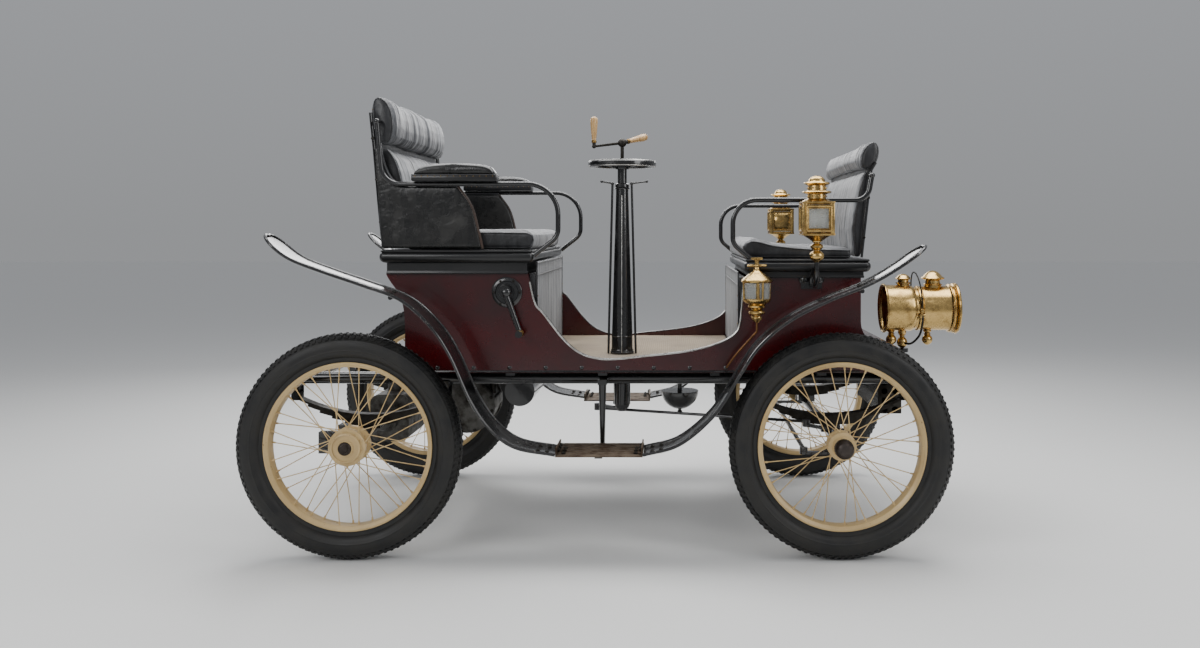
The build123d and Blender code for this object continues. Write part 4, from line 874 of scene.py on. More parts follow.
def paint_ends(mesh, half, index, middle=0.0):
    """Gives the two end panels of a pad their own leather."""
    for face in mesh.polygons:
        if abs(face.normal.y) > 0.72 and abs(face.center.y - middle * MM) > (half - 26) * MM:
            face.material_index = index


def surface_of(mesh):
    return BVHTree.FromPolygons([v.co for v in mesh.vertices], [p.vertices for p in mesh.polygons])


def add_piping(bm, surface, points, radius=2.6, material=0, closed=True):
    """A piped seam that follows a pad's surface near the given points."""
    path = []
    for point in points:
        spot, normal, _, _ = surface.find_nearest(Vector(point) * MM)
        path.append((spot + normal * radius * 0.45 * MM) / MM)
    smooth = [(path[i - 1] + path[i] * 2 + path[(i + 1) % len(path)]) / 4 for i in range(len(path))]
    if not closed:
        smooth[0], smooth[-1] = path[0], path[-1]
    add_tube(bm, smooth, radius, 8, material, closed)


def even_outline(outline, step=12):
    """The outline again, with a point every few millimetres."""
    points = []
    for a, b in zip(outline, outline[1:] + outline[:1]):
        a, b = Vector(a), Vector(b)
        count = max(1, round((b - a).length / step))
        points += [a.lerp(b, i / count) for i in range(count)]
    return [(p.x, p.y) for p in points]


# %% [markdown]
# ### Where the seats are
# Every pad is measured from its seat board, so one corner of each board is enough to place all of them.

# %% Seat corners
worn_binding = old_leather("worn_brown_binding", "#3E2A1E", "#17130F", 0.45, 0.45)


def in_mm(node):
    low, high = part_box(node)
    return Vector(low) / MM, Vector(high) / MM


rear_low, rear_high = in_mm("rear_seat_board")
front_low, front_high = in_mm("front_seat_board")
PAD_HALF = in_mm("rear_seat_cushion")[1].y


def from_point(x, z, steps):
    return [(x + dx, z + dz) for dx, dz in steps]


print("seat boards", tuple(round(v) for v in rear_low), tuple(round(v) for v in front_low), "pad half",
      PAD_HALF)


# %% [markdown]
# ### Seat backs
# Each back has two pads: a flat lower one and a fat roll above it that overhangs a deep crease. The roll's
# leather is gathered into soft vertical folds, and plain dark panels close its ends.

# %% Backs and rolls
rear_x, rear_z = rear_low.x, rear_high.z
front_x, front_z = front_high.x, front_high.z
BACK_PADS = {
    "rear_back_lower": ("rear_seat_back", PAD_HALF - 4, 9, from_point(rear_x, rear_z, [
        (6, 3), (-9, 160), (-24, 334), (14, 334), (36, 300), (50, 262), (61, 215), (66, 164), (64, 110),
        (58, 68),
        (56, 3)])),
    "rear_back_roll": ("rear_seat_back", PAD_HALF + 4, 15, from_point(rear_x, rear_z, [
        (-24, 347), (-32, 400), (-37, 450), (-37, 480), (-30, 500), (-18, 508), (-4, 504), (10, 491),
        (22, 470),
        (30, 440), (33, 405), (30, 372), (22, 350), (2, 344)])),
    "front_back_lower": ("front_seat_back", PAD_HALF - 4, 8, from_point(front_x, front_z, [
        (-24, 3), (-8, 150), (8, 291), (-9, 291), (-26, 240), (-38, 190), (-46, 140), (-50, 94), (-46, 44),
        (-44, 3)])),
    "front_back_roll": ("front_seat_back", PAD_HALF + 4, 13, from_point(front_x, front_z, [
        (8, 296), (24, 314), (33, 340), (34, 366), (28, 382), (16, 387), (2, 381), (-12, 366), (-21, 346),
        (-26, 322), (-25, 300), (-12, 291)])),
}
pads = {}
for seed, (name, (stands_for, half, corner, outline)) in enumerate(BACK_PADS.items()):
    bm = bmesh.new()
    add_shell(bm, even_outline(outline), -half, half, corner)
    pad = as_object(name, to_mesh(bm, name, [faded_and_highlit_leather, leather]))
    roll = "roll" in name
    mesh = stuff(pad, 7 if roll else 5)
    crease(mesh, 6.5 if roll else 4.0, 58 if roll else 44, seed * 5.3 + 1)
    crease(mesh, 1.4, 17, seed * 3.1 + 8)
    paint_ends(mesh, half, 1)
    behind = -1 if "rear" in name else 1
    for face in mesh.polygons:
        if face.normal.x * behind > 0.55:
            face.material_index = 1
    shade_smooth(mesh)
    settle(pad, "root", [stands_for])
    pads[name] = pad
    seam, surface = bmesh.new(), surface_of(mesh)
    for side in (-1, 1):
        y = side * (half - 5)
        add_piping(seam, surface, [(x, y, z) for x, z in even_outline(outline, 14)], 2.4)
    piece(name + "_piping", seam, [leather], "root")
    print(name, len(mesh.polygons), "faces")

# The crease under each roll is filled with the darker black leather so that it reads dark: painted shade in
# the deep crease.
FILLETS = {
    "rear": (from_point(rear_x, rear_z, [(-28, 290), (-36, 400), (-10, 400), (-3, 372), (0, 345),
                                         (-2, 318), (-8, 290)]),
             PAD_HALF - 6),
    "front": (from_point(front_x, front_z, [(6, 262), (26, 336), (12, 336), (-4, 318), (-6, 300), (-5, 284),
                                            (-3, 262)]), PAD_HALF - 6),
}
for end, (outline, half) in FILLETS.items():
    bm = bmesh.new()
    add_shell(bm, even_outline(outline, 9), -half, half, 5)
    piece(f"{end}_crease_filling", bm, [leather], "root")


# %% [markdown]
# ### Seat cushions
# A cushion is a shallow box of leather: a soft grey top, a darker front and side band, and piping where they
# meet. The soft grey of the top is partly real bloom and partly a painted highlight. The front one has
# slipped into a hump towards the driver.

# %% Cushions
CUSHIONS = {
    "rear_cushion": ("rear_seat_cushion", PAD_HALF - 5, 12, rear_z, [
        *from_point(rear_x, rear_z, [(71, 57), (71, 2)]),
        *from_point(rear_high.x, rear_z, [(-14, 2), (-4, 12), (0, 32), (-3, 48), (-16, 59), (-60, 61),
                                          (-200, 60)])],
        0.8),
    "front_cushion": ("front_seat_cushion", PAD_HALF + 2, 12, front_z, [
        *from_point(front_low.x, front_z, [(-6, 10), (8, 2)]),
        *from_point(front_x, front_z, [(-53, 2), (-53, 32)]),
        *from_point(front_low.x, front_z,
                    [(215, 34), (150, 39), (95, 47), (55, 58), (25, 63), (4, 60), (-8, 44)])],
        0.7),
}
for seed, (name, (node, half, corner, rest_z, outline, fill)) in enumerate(CUSHIONS.items()):
    bm = bmesh.new()
    add_shell(bm, even_outline(outline), -half, half, corner)
    pad = as_object(name, to_mesh(bm, name, [faded_and_highlit_leather, leather]))
    mesh = stuff(pad, 6, floor_z=rest_z + 0.4)

    def on_band(co):
        return 1.0 if abs(co.y) > (half - 22) * MM or co.x > (rear_high.x - 14) * MM else 0.35

    crease(mesh, 3.0, 62, seed * 7.7 + 20, on_band)
    crease(mesh, 1.1, 19, seed * 4.1 + 31)
    paint_ends(mesh, half, 1)
    shade_smooth(mesh)
    settle(pad, "root", [node])
    top = [p for p in even_outline(outline, 16) if p[1] > rest_z + 26]
    seam, surface = bmesh.new(), surface_of(mesh)
    for side in (-1, 1):
        y = side * (half - 3)
        line = sorted(top)
        add_piping(seam, surface, [(x, y, z - 3) for x, z in line], 2.4, closed=False)
        foot = [(x, y, rest_z + 3) for x, z in line]
        add_piping(seam, surface, foot, 2.0, closed=False)
    piece(name + "_piping", seam, [leather], "root")
    print(name, len(mesh.polygons), "faces")


# %% [markdown]
# ### Cheeks and arm pads
# The cheeks are thin boards under tight glossy leather; their front and top edges are bound, and the binding
# is worn to brown. Each arm pad is a small dome of stuffing nailed round the edge of its board.

# %% Cheeks
cheek_high = in_mm("seat_cheeks")[1]
CHEEK_IN = cheek_high.y - 17
CHEEK_EDGE = smooth_path([(x, 0, z) for x, z in from_point(rear_x, rear_z, [
    (331, 3), (318, 60), (294, 144), (250, 208)])], 8)
CHEEK_TOP = smooth_path([(x, 0, z) for x, z in from_point(rear_x, rear_z, [
    (250, 208), (160, 209), (75, 210), (44, 222), (24, 246), (8, 286), (-4, 332)])], 6)
cheek_outline = [(p.x, p.z) for p in CHEEK_EDGE[:-1] + CHEEK_TOP] + from_point(rear_x, rear_z,
                                                                               [(-23, 332), (0, 3)])
for side, label in ((1, "left"), (-1, "right")):
    bm = bmesh.new()
    y_low, y_high = sorted((side * CHEEK_IN, side * (CHEEK_IN + 17)))
    add_shell(bm, even_outline(cheek_outline, 9), y_low, y_high, 4.5)
    cheek = as_object(f"{label}_cheek", to_mesh(bm, f"{label}_cheek", [panel_leather]))
    mesh = stuff(cheek, 1.5, voxel=5)
    crease(mesh, 1.5, 95, side * 2.3 + 4, stretch=0.9)
    shade_smooth(mesh)
    settle(cheek, "root", ["seat_cheeks"])
    bm = bmesh.new()
    for y in (y_low + 1.5, y_high - 1.5):
        add_tube(bm, [(p.x + 1, y, p.z) for p in CHEEK_EDGE], 3.0, 8)
        add_tube(bm, [(p.x, y, p.z + 1) for p in CHEEK_TOP], 3.0, 8, 1)
    piece(f"{label}_cheek_binding", bm, [worn_binding, leather], "root")

# %% Arm pads
nail = bmesh.new()
add_lathe(nail, [(0, -1), (1.9, -1), (1.9, 0.2), (1.4, 1.0), (0, 1.4)], (0, 0, 0), (0, -1, 0), 8)
nail_mesh = to_mesh(nail, "nail", [])


def add_nails(bm, start, step, count, outward, material):
    """A row of round nail heads that face along outward."""
    shape = bmesh.new()
    shape.from_mesh(nail_mesh)
    aim = Vector((0, -1, 0)).rotation_difference(Vector(outward)).to_matrix()
    bmesh.ops.rotate(shape, cent=(0, 0, 0), matrix=aim, verts=shape.verts)
    add_mesh(bm, grow(shape, row, count=count, step=Vector(step) * MM, wobble=0.0, material=old_brass),
             start, material)


pad_low, pad_high = in_mm("arm_pads")
for side, label in ((1, "left"), (-1, "right")):
    y_low, y_high = sorted((side * (pad_high.y - 72), side * pad_high.y))
    dome = [(pad_low.x + dx, pad_low.z + dz) for dx, dz in [
        (5, 19), (272, 19), (271, 30), (259, 45), (236, 52), (205, 54), (90, 54), (52, 51), (24, 43),
        (7, 30)]]
    bm = bmesh.new()
    add_shell(bm, even_outline(dome), y_low + 3, y_high - 3, 16)
    pad = as_object(f"{label}_arm_pad", to_mesh(bm, f"{label}_arm_pad", [panel_leather]))
    mesh = stuff(pad, 4, voxel=4.5)
    crease(mesh, 1.0, 40, side * 6.1 + 12)
    shade_smooth(mesh)
    settle(pad, "root", ["arm_pads"])
    bm = bmesh.new()
    add_plate(bm, (pad_low.x + 1, y_low + 1, pad_low.z), (pad_high.x - 1, y_high - 1, pad_low.z + 20), 5, 0)
    for x, across in ((pad_low.x + 14, y_low), (pad_low.x + 14, y_high)):
        facing = -1 if across == y_low else 1
        add_nails(bm, (x, across + facing * -0.6, pad_low.z + 16), (21, 0, 0), 13, (0, facing, 0), 1)
    piece(f"{label}_arm_board", bm, [lacquer, old_brass, worn_binding], "root")
    bm = bmesh.new()
    for y in (y_low + 2, y_high - 2):
        add_tube(bm, [(pad_low.x + 4, y, pad_low.z + 20), (pad_high.x - 4, y, pad_low.z + 20)], 2.2, 8)
    for x in (pad_low.x + 3, pad_high.x - 3):
        add_tube(bm, [(x, y_low + 4, pad_low.z + 20), (x, y_high - 4, pad_low.z + 20)], 2.2, 8)
    piece(f"{label}_arm_binding", bm, [leather], "root")
print("arm pads", tuple(round(v) for v in pad_low), tuple(round(v) for v in pad_high))


# %% [markdown]
# ### Valances and mat
# A leather curtain hangs from each seat board to the floor and hides the box behind it. It has no stuffing,
# so it is one thin sheet with long folds that grow towards its free lower edge. The mat lies flat, with only
# the small waves that feet leave.

# %% Valances and mat
VALANCE_HALF = 386


def hanging_sheet(x, z_top, z_low, facing, seed):
    """A grid in Y and Z, folded more towards its lower edge."""
    bm = bmesh.new()
    rows, columns = 36, 130
    grid = []
    for j in range(rows + 1):
        drop = j / rows
        z = z_top + (z_low - z_top) * drop
        line = []
        for i in range(columns + 1):
            y = -VALANCE_HALF + 2 * VALANCE_HALF * i / columns
            fold = noise.noise(Vector((y / 34 + seed, drop * 0.9, seed)))
            fine = noise.noise(Vector((y / 11 + seed, drop * 2.6, seed * 2)))
            bulge = (0.35 + 0.65 * drop) * (4.2 * fold + 1.1 * fine)
            line.append(bm.verts.new(Vector((x + facing * bulge, y, z)) * MM))
        grid.append(line)
    for upper, lower in zip(grid, grid[1:]):
        for i in range(columns):
            bm.faces.new([upper[i], lower[i], lower[i + 1], upper[i + 1]])
    return bm


def solidify(made, thickness):
    wall = made.modifiers.new("thickness", "SOLIDIFY")
    wall.thickness, wall.offset = thickness * MM, 0.0


riser_low, riser_high = in_mm("seat_risers")
valances = (
    ("rear_valance", rear_high.x + 6, rear_z - 40, riser_high.z, 1, "rear_seat_board", 3.7),
    ("front_valance", riser_low.x, front_z - 43, riser_high.z, -1, "front_seat_board", 9.2),
)
mat_low, mat_high = in_mm("floor_mat")
for name, x, z_top, _, facing, hangs_from, seed in valances:
    x = x if facing > 0 else mat_high.x - 5
    z_low = mat_high.z + 3
    # The valance's faded grey leather is partly real bloom and partly a painted highlight.
    made = piece(name, hanging_sheet(x, z_top, z_low, facing, seed), [faded_and_highlit_leather], "root")
    solidify(made, 2.0)
    bm = bmesh.new()
    for z in (z_top - 4, z_top - 44):
        add_tube(bm, [(x + facing * 1.5, -VALANCE_HALF, z), (x + facing * 1.5, VALANCE_HALF, z)], 1.8, 6)
    for side in (-1, 1):
        y = side * (VALANCE_HALF + 1)
        add_tube(bm, [(x, y, z_top), (x, y, z_low)], 2.6, 6)
        add_nails(bm, (x + facing * 2.5, y - side * 9, z_low + 20), (0, 0, 46), 5, (facing, 0, 0), 1)
    piece(name + "_binding", bm, [leather, old_brass], "root")

bm = bmesh.new()
rows, columns = 60, 70
grid = []
for j in range(rows + 1):
    x = mat_low.x + 2 + (mat_high.x - mat_low.x - 12) * j / rows
    line = []
    for i in range(columns + 1):
        y = mat_low.y + (mat_high.y - mat_low.y) * i / columns
        wave = noise.noise(Vector((x / 90, y / 120, 4.0))) * 0.9
        line.append(bm.verts.new(Vector((x, y, mat_low.z + 3 + wave)) * MM))
    grid.append(line)
for upper, lower in zip(grid, grid[1:]):
    for i in range(columns):
        bm.faces.new([upper[i], lower[i], lower[i + 1], upper[i + 1]])
mat = piece("woven_floor_mat", bm, [mat_cloth], "root", ["floor_mat"])
solidify(mat, 4.0)


# %% [markdown]
# ### Seat mouldings
# Each seat stands on a moulded frame. Its profile, a small top bead, a quirk and a fat round nosing over a
# plain frieze, runs round a rectangle, so one ring of points for each step of the profile makes all of it.

# %% Seat mouldings
def rounded_rectangle(low, high, radius, inward, z, per_corner=6):
    points = []
    reach = max(radius - inward, 1.5)
    for cx, cy, first in ((high.x, high.y, 0), (low.x, high.y, 90), (low.x, low.y, 180),
                          (high.x, low.y, 270)):
        middle_x = cx - math.copysign(inward + reach, cx - (low.x + high.x) / 2)
        middle_y = cy - math.copysign(inward + reach, cy)
        for i in range(per_corner + 1):
            angle = math.radians(first + 90 * i / per_corner)
            points.append((middle_x + reach * math.cos(angle), middle_y + reach * math.sin(angle), z))
    return points


def moulded_frame(low, high, profile):
    bm = bmesh.new()
    rings = [[bm.verts.new(Vector(p) * MM) for p in rounded_rectangle(low, high, 16, inward, high.z + z)]
             for inward, z in profile]
    join_rings(bm, rings)
    bm.faces.new(rings[0])
    bm.faces.new(rings[-1])
    return bm


NOSING = [(14, -0.5), (8, -0.5), (5, -1.5), (3.5, -4), (4, -7), (7, -9), (8, -10.5), (6, -12), (3.5, -13),
          (1.5, -16), (0.3, -21), (0.3, -27), (2, -33), (6, -38.5), (12, -41.5), (19, -42.5)]
for end, low, high in (("rear", rear_low, rear_high), ("front", front_low, front_high)):
    depth = low.z - high.z
    frieze = [(22, -43.2), (22, -44.5), (22, -47), (22, depth + 11), (22, depth + 8), (20.5, depth + 6),
              (20.5, depth + 1.5), (22, depth)]
    piece(f"{end}_seat_moulding", moulded_frame(low, high, NOSING + frieze), [lacquer], "root",
          [f"{end}_seat_board"], crease=40)
print("frieze depth", round(depth))


# %% [markdown]
# ## Brass
# The lamps and the oiler are spun and soldered brass: every part is either turned or a flat plate with a
# pressed edge. Each lamp is one piece made of lathe profiles and plates, so its silhouette carries the beads,
# collars and rims, and the brass itself stays a plain polished metal with a little tarnish.

# %% Side lamps
lamp_low, lamp_high = in_mm("side_lamps")
LAMP_X, LAMP_Y, LAMP_Z = (lamp_low.x + lamp_high.x) / 2, lamp_high.y - 51, lamp_low.z
CASE_HALF, CASE_LOW, CASE_HIGH = 50, 84, 190


def raised_panel(bm, centre, out, half, rise, material=0):
    """A closed brass panel with a pressed pyramid that faces along out."""
    out = Vector(out)
    side = Vector((0, 0, 1)).cross(out)
    up = Vector((0, 0, 1))
    rings = []
    for reach, height in ((half, -2.5), (half, 0), (half - 8, 0), (half - 11, 3), (half - 30, rise),
                          (0, rise + 1)):
        corners = [(-1, -1), (1, -1), (1, 1), (-1, 1)] if reach else [(0, 0)]
        spots = [Vector(centre) + side * a * reach + up * b * reach * 1.02 + out * height for a, b in corners]
        rings.append([bm.verts.new(spot * MM) for spot in spots])
    join_rings(bm, rings, material)
    bm.faces.new(rings[0]).material_index = material


def glazed_frame(bm, centre, out, half, material=0):
    """Two stepped square frames round a pane."""
    out = Vector(out)
    side = Vector((0, 0, 1)).cross(out)
    for reach, height, radius in ((half, 1.5, 3.6), (half - 5, -1.5, 2.4)):
        corners = [(-1, -1), (1, -1), (1, 1), (-1, 1)]
        path = [Vector(centre) + side * a * reach + Vector((0, 0, b * reach)) + out * height for a,
                b in corners]
        for a, b in zip(path, path[1:] + path[:1]):
            add_tube(bm, [a, b], radius, 8, material)


def side_lamp(out):
    """out is +1 on the car's left and -1 on its right."""
    bm = bmesh.new()
    x, y, z = LAMP_X, out * LAMP_Y, LAMP_Z
    add_lathe(bm, [(0, 0), (7, 0), (9, 3), (17, 7), (22, 14), (23.5, 20), (22, 27), (15, 34), (10, 36),
                   (10, 38),
                   (15, 41), (20, 46), (20, 52), (15, 57), (10, 59), (10, 61), (14, 63), (15, 66), (20, 69),
                   (28, 75), (40, 82), (44, 85), (44, 88), (0, 88)], (x, y, z), steps=44)
    low, high, h = z + CASE_LOW, z + CASE_HIGH, CASE_HALF
    for z_low, z_high, reach in ((low, low + 6, h + 1), (low + 6, low + 10, h - 3),
                                 (high - 10, high - 6, h - 3),
                                 (high - 6, high, h + 1)):
        add_plate(bm, (x - reach, y - reach, z_low), (x + reach, y + reach, z_high), 2.0)
    for side_x in (-1, 1):
        for side_y in (-1, 1):
            cx, cy = x + side_x * (h - 7), y + side_y * (h - 7)
            add_plate(bm, (cx - 6.5, cy - 6.5, low + 5), (cx + 6.5, cy + 6.5, high - 5), 2.4)
    middle = (low + high) / 2
    glazed_frame(bm, (x, y + out * (h - 2), middle), (0, out, 0), 38)
    glazed_frame(bm, (x - h + 2, y, middle), (-1, 0, 0), 38)
    raised_panel(bm, (x, y - out * (h - 6), middle), (0, -out, 0), 40, 9)
    raised_panel(bm, (x + h - 6, y, middle), (1, 0, 0), 40, 9)
    add_lathe(bm, [(0, CASE_LOW + 6), (15, CASE_LOW + 6), (15, CASE_LOW + 15), (6, CASE_LOW + 20),
                   (5, CASE_LOW + 31),
                   (0, CASE_LOW + 31)], (x, y, z), steps=20, material=1)
    add_plate(bm, (x - 40, y - out * 38 - 1, low + 8), (x + 40, y - out * 38 + 1, high - 8), 0.6, 2)
    add_plate(bm, (x + 37, y - 36, low + 8), (x + 39, y + 36, high - 8), 0.6, 2)
    top = CASE_HIGH
    add_lathe(bm, [(0, top - 4), (46, top - 4), (46, top + 1), (41, top + 5), (33, top + 8), (29, top + 10),
                   (28.5, top + 23), (33, top + 25), (43, top + 27), (46, top + 30), (43, top + 33),
                   (32, top + 34), (29, top + 36), (28, top + 50), (31, top + 52), (39, top + 55),
                   (41.5, top + 58),
                   (39, top + 61), (28, top + 62), (26, top + 64), (25, top + 70), (19, top + 77),
                   (10, top + 81),
                   (0, top + 82)], (x, y, z), steps=48)
    for i in range(9):
        angle = 2 * math.pi * i / 9
        for height, reach, radius in ((top + 17, 27, 4.6), (top + 43, 27, 3.6)):
            spot = (x + reach * math.cos(angle), y + reach * math.sin(angle), z + height)
            add_lathe(bm, [(0, 0), (radius, 0), (radius * 0.9, 2.5), (radius * 0.5, 4), (0, 4.4)], spot,
                      (math.cos(angle), math.sin(angle), 0), 10)
    return bm


for out, label in ((1, "left"), (-1, "right")):
    piece(f"{label}_side_lamp", side_lamp(out), [brass, old_brass, bright_steel], "root",
          ["side_lamps"])


# %% [markdown]
# ### Headlamp
# The headlamp is a short brass barrel in two halves. The back is an open dish of coppery metal, the front
# has three stepped rings round the lens, and two capped chimneys stand on top.

# %% Headlamp
head_low, head_high = in_mm("headlamp")
HEAD_X, HEAD_Z = head_low.x, centre_of("headlamp").z / MM
HEAD_Z = head_high.z - 138
BARREL = [(84, 4), (87, 0), (90, 2), (90.5, 5), (89, 8), (86, 10), (85.5, 16), (84.5, 60), (84, 96),
          (82, 106),
          (76, 113), (74, 117), (76, 121), (80, 122), (81.5, 124), (81.5, 131), (80, 133), (77, 134),
          (77, 136),
          (80, 138), (80.5, 160), (80.5, 230), (82, 236), (87, 239), (88.5, 242), (87, 245), (83.5, 247),
          (83.5, 250), (88, 252), (90.5, 255), (88, 258), (86, 259), (91, 261), (93, 265), (91, 269),
          (86, 270),
          (82.6, 269), (82.3, 264), (78, 262), (77, 240), (77, 14), (80, 6), (84, 4)]


def headlamp():
    bm = bmesh.new()
    at, along = (HEAD_X, 0, HEAD_Z), (1, 0, 0)
    add_lathe(bm, BARREL, at, along, 72)
    add_lathe(bm, [(0, 44), (32, 42), (60, 31), (76, 16), (83.5, 4.5), (84, 7), (77.5, 19), (61, 34),
                   (32, 45),
                   (0, 47)], at, along, 64, 1)
    add_lathe(bm, [(0, 200), (40, 206), (66, 226), (77, 256), (77.5, 259), (66, 230), (40, 209), (0, 203)],
              at, along, 56, 2)
    add_lathe(bm, [(0, 20), (9, 21), (9, 40), (0, 41)], at, along, 16, 2)
    tall = [(0, 60), (30, 60), (30, 83), (33, 85), (33.5, 88), (31, 90), (27, 91), (26.5, 101), (30, 103),
            (41, 107), (43, 110), (41, 113), (34, 117), (29.5, 123), (22, 130), (11, 136), (0, 138)]
    short = [(0, 60), (22, 60), (22, 88), (27, 90), (27, 94), (20, 96), (19, 103), (27, 106), (29, 109),
             (25, 112), (20, 118), (10, 124), (0, 126)]
    add_lathe(bm, tall, (HEAD_X + 185, 0, HEAD_Z), steps=44)
    add_lathe(bm, short, (HEAD_X + 77, 0, HEAD_Z), steps=36)
    for across, depth in ((33, 0), (73, 12), (165, 0)):
        stretch = (134 + depth) / 134
        knob = [(0, 62), (15, 62), (15, 84), (12, 88), (9, 90), (9, 97), (11, 99), (16, 104), (19, 111),
                (19, 119),
                (16, 126), (10, 131), (6, 134), (0, 134)]
        add_lathe(bm, [(r, h * stretch) for r, h in knob], (HEAD_X + across, 0, HEAD_Z), (0, 0, -1), 28)
        for ring_at in (92, 96):
            add_lathe(bm, [(0, ring_at), (12, ring_at), (13, ring_at + 1.2), (12, ring_at + 2.4),
                           (0, ring_at + 2.4)],
                      (HEAD_X + across, 0, HEAD_Z), (0, 0, -1), 20)
    for side in (-1, 1):
        add_tube(bm, smooth_path([(HEAD_X + 128, side * 81, HEAD_Z - 4),
                                  (HEAD_X + 126, side * 84, HEAD_Z + 40),
                                  (HEAD_X + 122, side * 70, HEAD_Z + 92),
                                  (HEAD_X + 118, side * 34, HEAD_Z + 124),
                                  (HEAD_X + 117, 0, HEAD_Z + 132)]), 2.6, 8, 3)
        add_lathe(bm, [(0, 0), (8, 0), (8, 5), (6, 8), (0, 9)], (HEAD_X + 128, side * 79, HEAD_Z - 4),
                  (0, side, 0), 16)
        add_plate(bm, (HEAD_X + 118, side * 83 - 3, HEAD_Z - 30),
                  (HEAD_X + 138, side * 83 + 3, HEAD_Z - 16), 1.5)
    add_tube(bm, smooth_path([(HEAD_X + 130, -82, HEAD_Z - 20), (HEAD_X + 126, -88, HEAD_Z - 52),
                              (HEAD_X + 118, -78, HEAD_Z - 92), (HEAD_X + 98, -44, HEAD_Z - 124),
                              (HEAD_X + 76, -10, HEAD_Z - 128)]), 4.0, 10, 3)
    return bm


piece("headlamp_barrel", headlamp(), [brass, reflector, bright_steel, dark_steel], "root",
      ["headlamp"])

# %% Drip oiler
oil_low, oil_high = in_mm("drip_oiler")
OIL_X, OIL_Z = (oil_low.x + oil_high.x) / 2, oil_low.z
OIL_Y = oil_low.y + 50


def drip_oiler():
    bm = bmesh.new()
    at = (OIL_X, OIL_Y, OIL_Z)
    add_lathe(bm, [(0, 0), (8, 0), (10, 3), (13, 6), (17, 11), (18, 15), (16, 19), (12, 21), (12, 23),
                   (20, 25),
                   (26, 28), (27, 32), (25, 36), (18, 39), (16, 42), (21, 45), (28, 48), (29, 53), (26, 56),
                   (29, 58), (37, 62), (43, 67), (46, 73), (46, 76), (0, 76)], at, steps=48)
    add_lathe(bm, [(41, 72), (44.5, 130), (42.5, 130), (39, 72), (41, 72)], at, steps=48, material=2)
    add_lathe(bm, [(0, 74), (34, 74), (36, 78), (38, 112), (0, 112)], at, steps=32, material=3)
    add_lathe(bm, [(0, 112), (13, 112), (13, 132), (0, 132)], at, steps=20, material=1)
    add_lathe(bm, [(0, 127), (47, 127), (50, 130), (51, 133), (49, 137), (46, 139), (34, 149), (22, 158),
                   (13, 164), (9.5, 169), (8.5, 176), (10, 178), (10, 182), (8, 184), (7.5, 196), (11, 198),
                   (11, 201), (0, 201)], at, steps=48)
    for i in range(4):
        angle = math.radians(20 + 90 * i)
        run = [(OIL_X + r * math.cos(angle), OIL_Y + r * math.sin(angle), OIL_Z + h)
               for r, h in ((44, 72), (45.5, 90), (46.5, 129))]
        add_tube(bm, run, 3.2, 8)
    add_lathe(bm, [(0, 0), (6, 0), (6, 56), (0, 56)], (OIL_X, OIL_Y - 41, OIL_Z + 74), steps=12)
    add_tube(bm, [(OIL_X - 31, OIL_Y, OIL_Z + 181), (OIL_X - 29, OIL_Y, OIL_Z + 181),
                  (OIL_X + 29, OIL_Y, OIL_Z + 181),
                  (OIL_X + 31, OIL_Y, OIL_Z + 181)], [2.6, 3.6, 3.6, 2.6], 10)
    add_plate(bm, (OIL_X - 19, OIL_Y - 6, OIL_Z + 200), (OIL_X + 19, OIL_Y + 6, OIL_Z + 208), 2.5)
    add_plate(bm, (OIL_X - 14, oil_high.y - 6, OIL_Z + 18), (OIL_X + 14, oil_high.y, OIL_Z + 72), 2)
    add_tube(bm, [(OIL_X, OIL_Y + 12, OIL_Z + 44), (OIL_X, oil_high.y - 3, OIL_Z + 44)], 6, 12)
    for height in (26, 64):
        add_nut(bm, (OIL_X, oil_high.y - 6, OIL_Z + height), (0, -1, 0), 9, 3)
    return bm


piece("sight_feed_oiler", drip_oiler(), [brass, old_brass, glass, dark_steel], "root",
      ["drip_oiler"])
print("lamps", round(LAMP_X), round(LAMP_Y), "headlamp", round(HEAD_X), round(HEAD_Z), "oiler",
      round(OIL_Y))


# %% [markdown]
# ## Steering
# The driver steers with a small lever: one upright boxwood grip on a bent arm and a second that slants away.
# Below it is the handwheel for speed, a flattened iron ring whose rounded edges have been rubbed bright.

# %% Handwheel, grips and column fittings
wheel_low, wheel_high = in_mm("speed_handwheel")
COLUMN = Vector(((wheel_low.x + wheel_high.x) / 2, (wheel_low.y + wheel_high.y) / 2, wheel_high.z - 20))
wheel_r = (wheel_high.x - wheel_low.x) / 2
bm = bmesh.new()
rim_profile = [(wheel_r - 22, -5), (wheel_r - 18, -9.5), (wheel_r - 11, -11), (wheel_r - 4, -9.5),
               (wheel_r, -5),
               (wheel_r, 5), (wheel_r - 4, 9.5), (wheel_r - 11, 11), (wheel_r - 18, 9.5), (wheel_r - 22, 5),
               (wheel_r - 22, -5)]
add_lathe(bm, rim_profile, COLUMN, steps=72)
for height in (-8.5, 8.5):
    loop = [(COLUMN.x + (wheel_r - 3.5) * math.cos(math.radians(a)), COLUMN.y + (wheel_r - 3.5) *
             math.sin(math.radians(a)), COLUMN.z + height) for a in range(0, 360, 6)]
    add_tube(bm, loop, 2.2, 8, 1, closed=True)
add_lathe(bm, [(7, -18), (23, -18), (24, -15), (24, -6), (20, -2), (15, 4), (12, 10), (11, 17), (9, 20),
               (7, 20),
               (7, -18)], COLUMN, steps=36)
for quarter in range(4):
    angle = math.radians(45 + 90 * quarter)
    spoke = [(COLUMN.x + r * math.cos(angle), COLUMN.y + r * math.sin(angle), COLUMN.z + h)
             for r, h in ((16, -8), (40, -8), (70, -3), (wheel_r - 18, 0))]
    add_tube(bm, smooth_path(spoke, 4), 5.0, 10)
piece("speed_handwheel_ring", bm, [enamel, bright_steel], "root", ["speed_handwheel"])

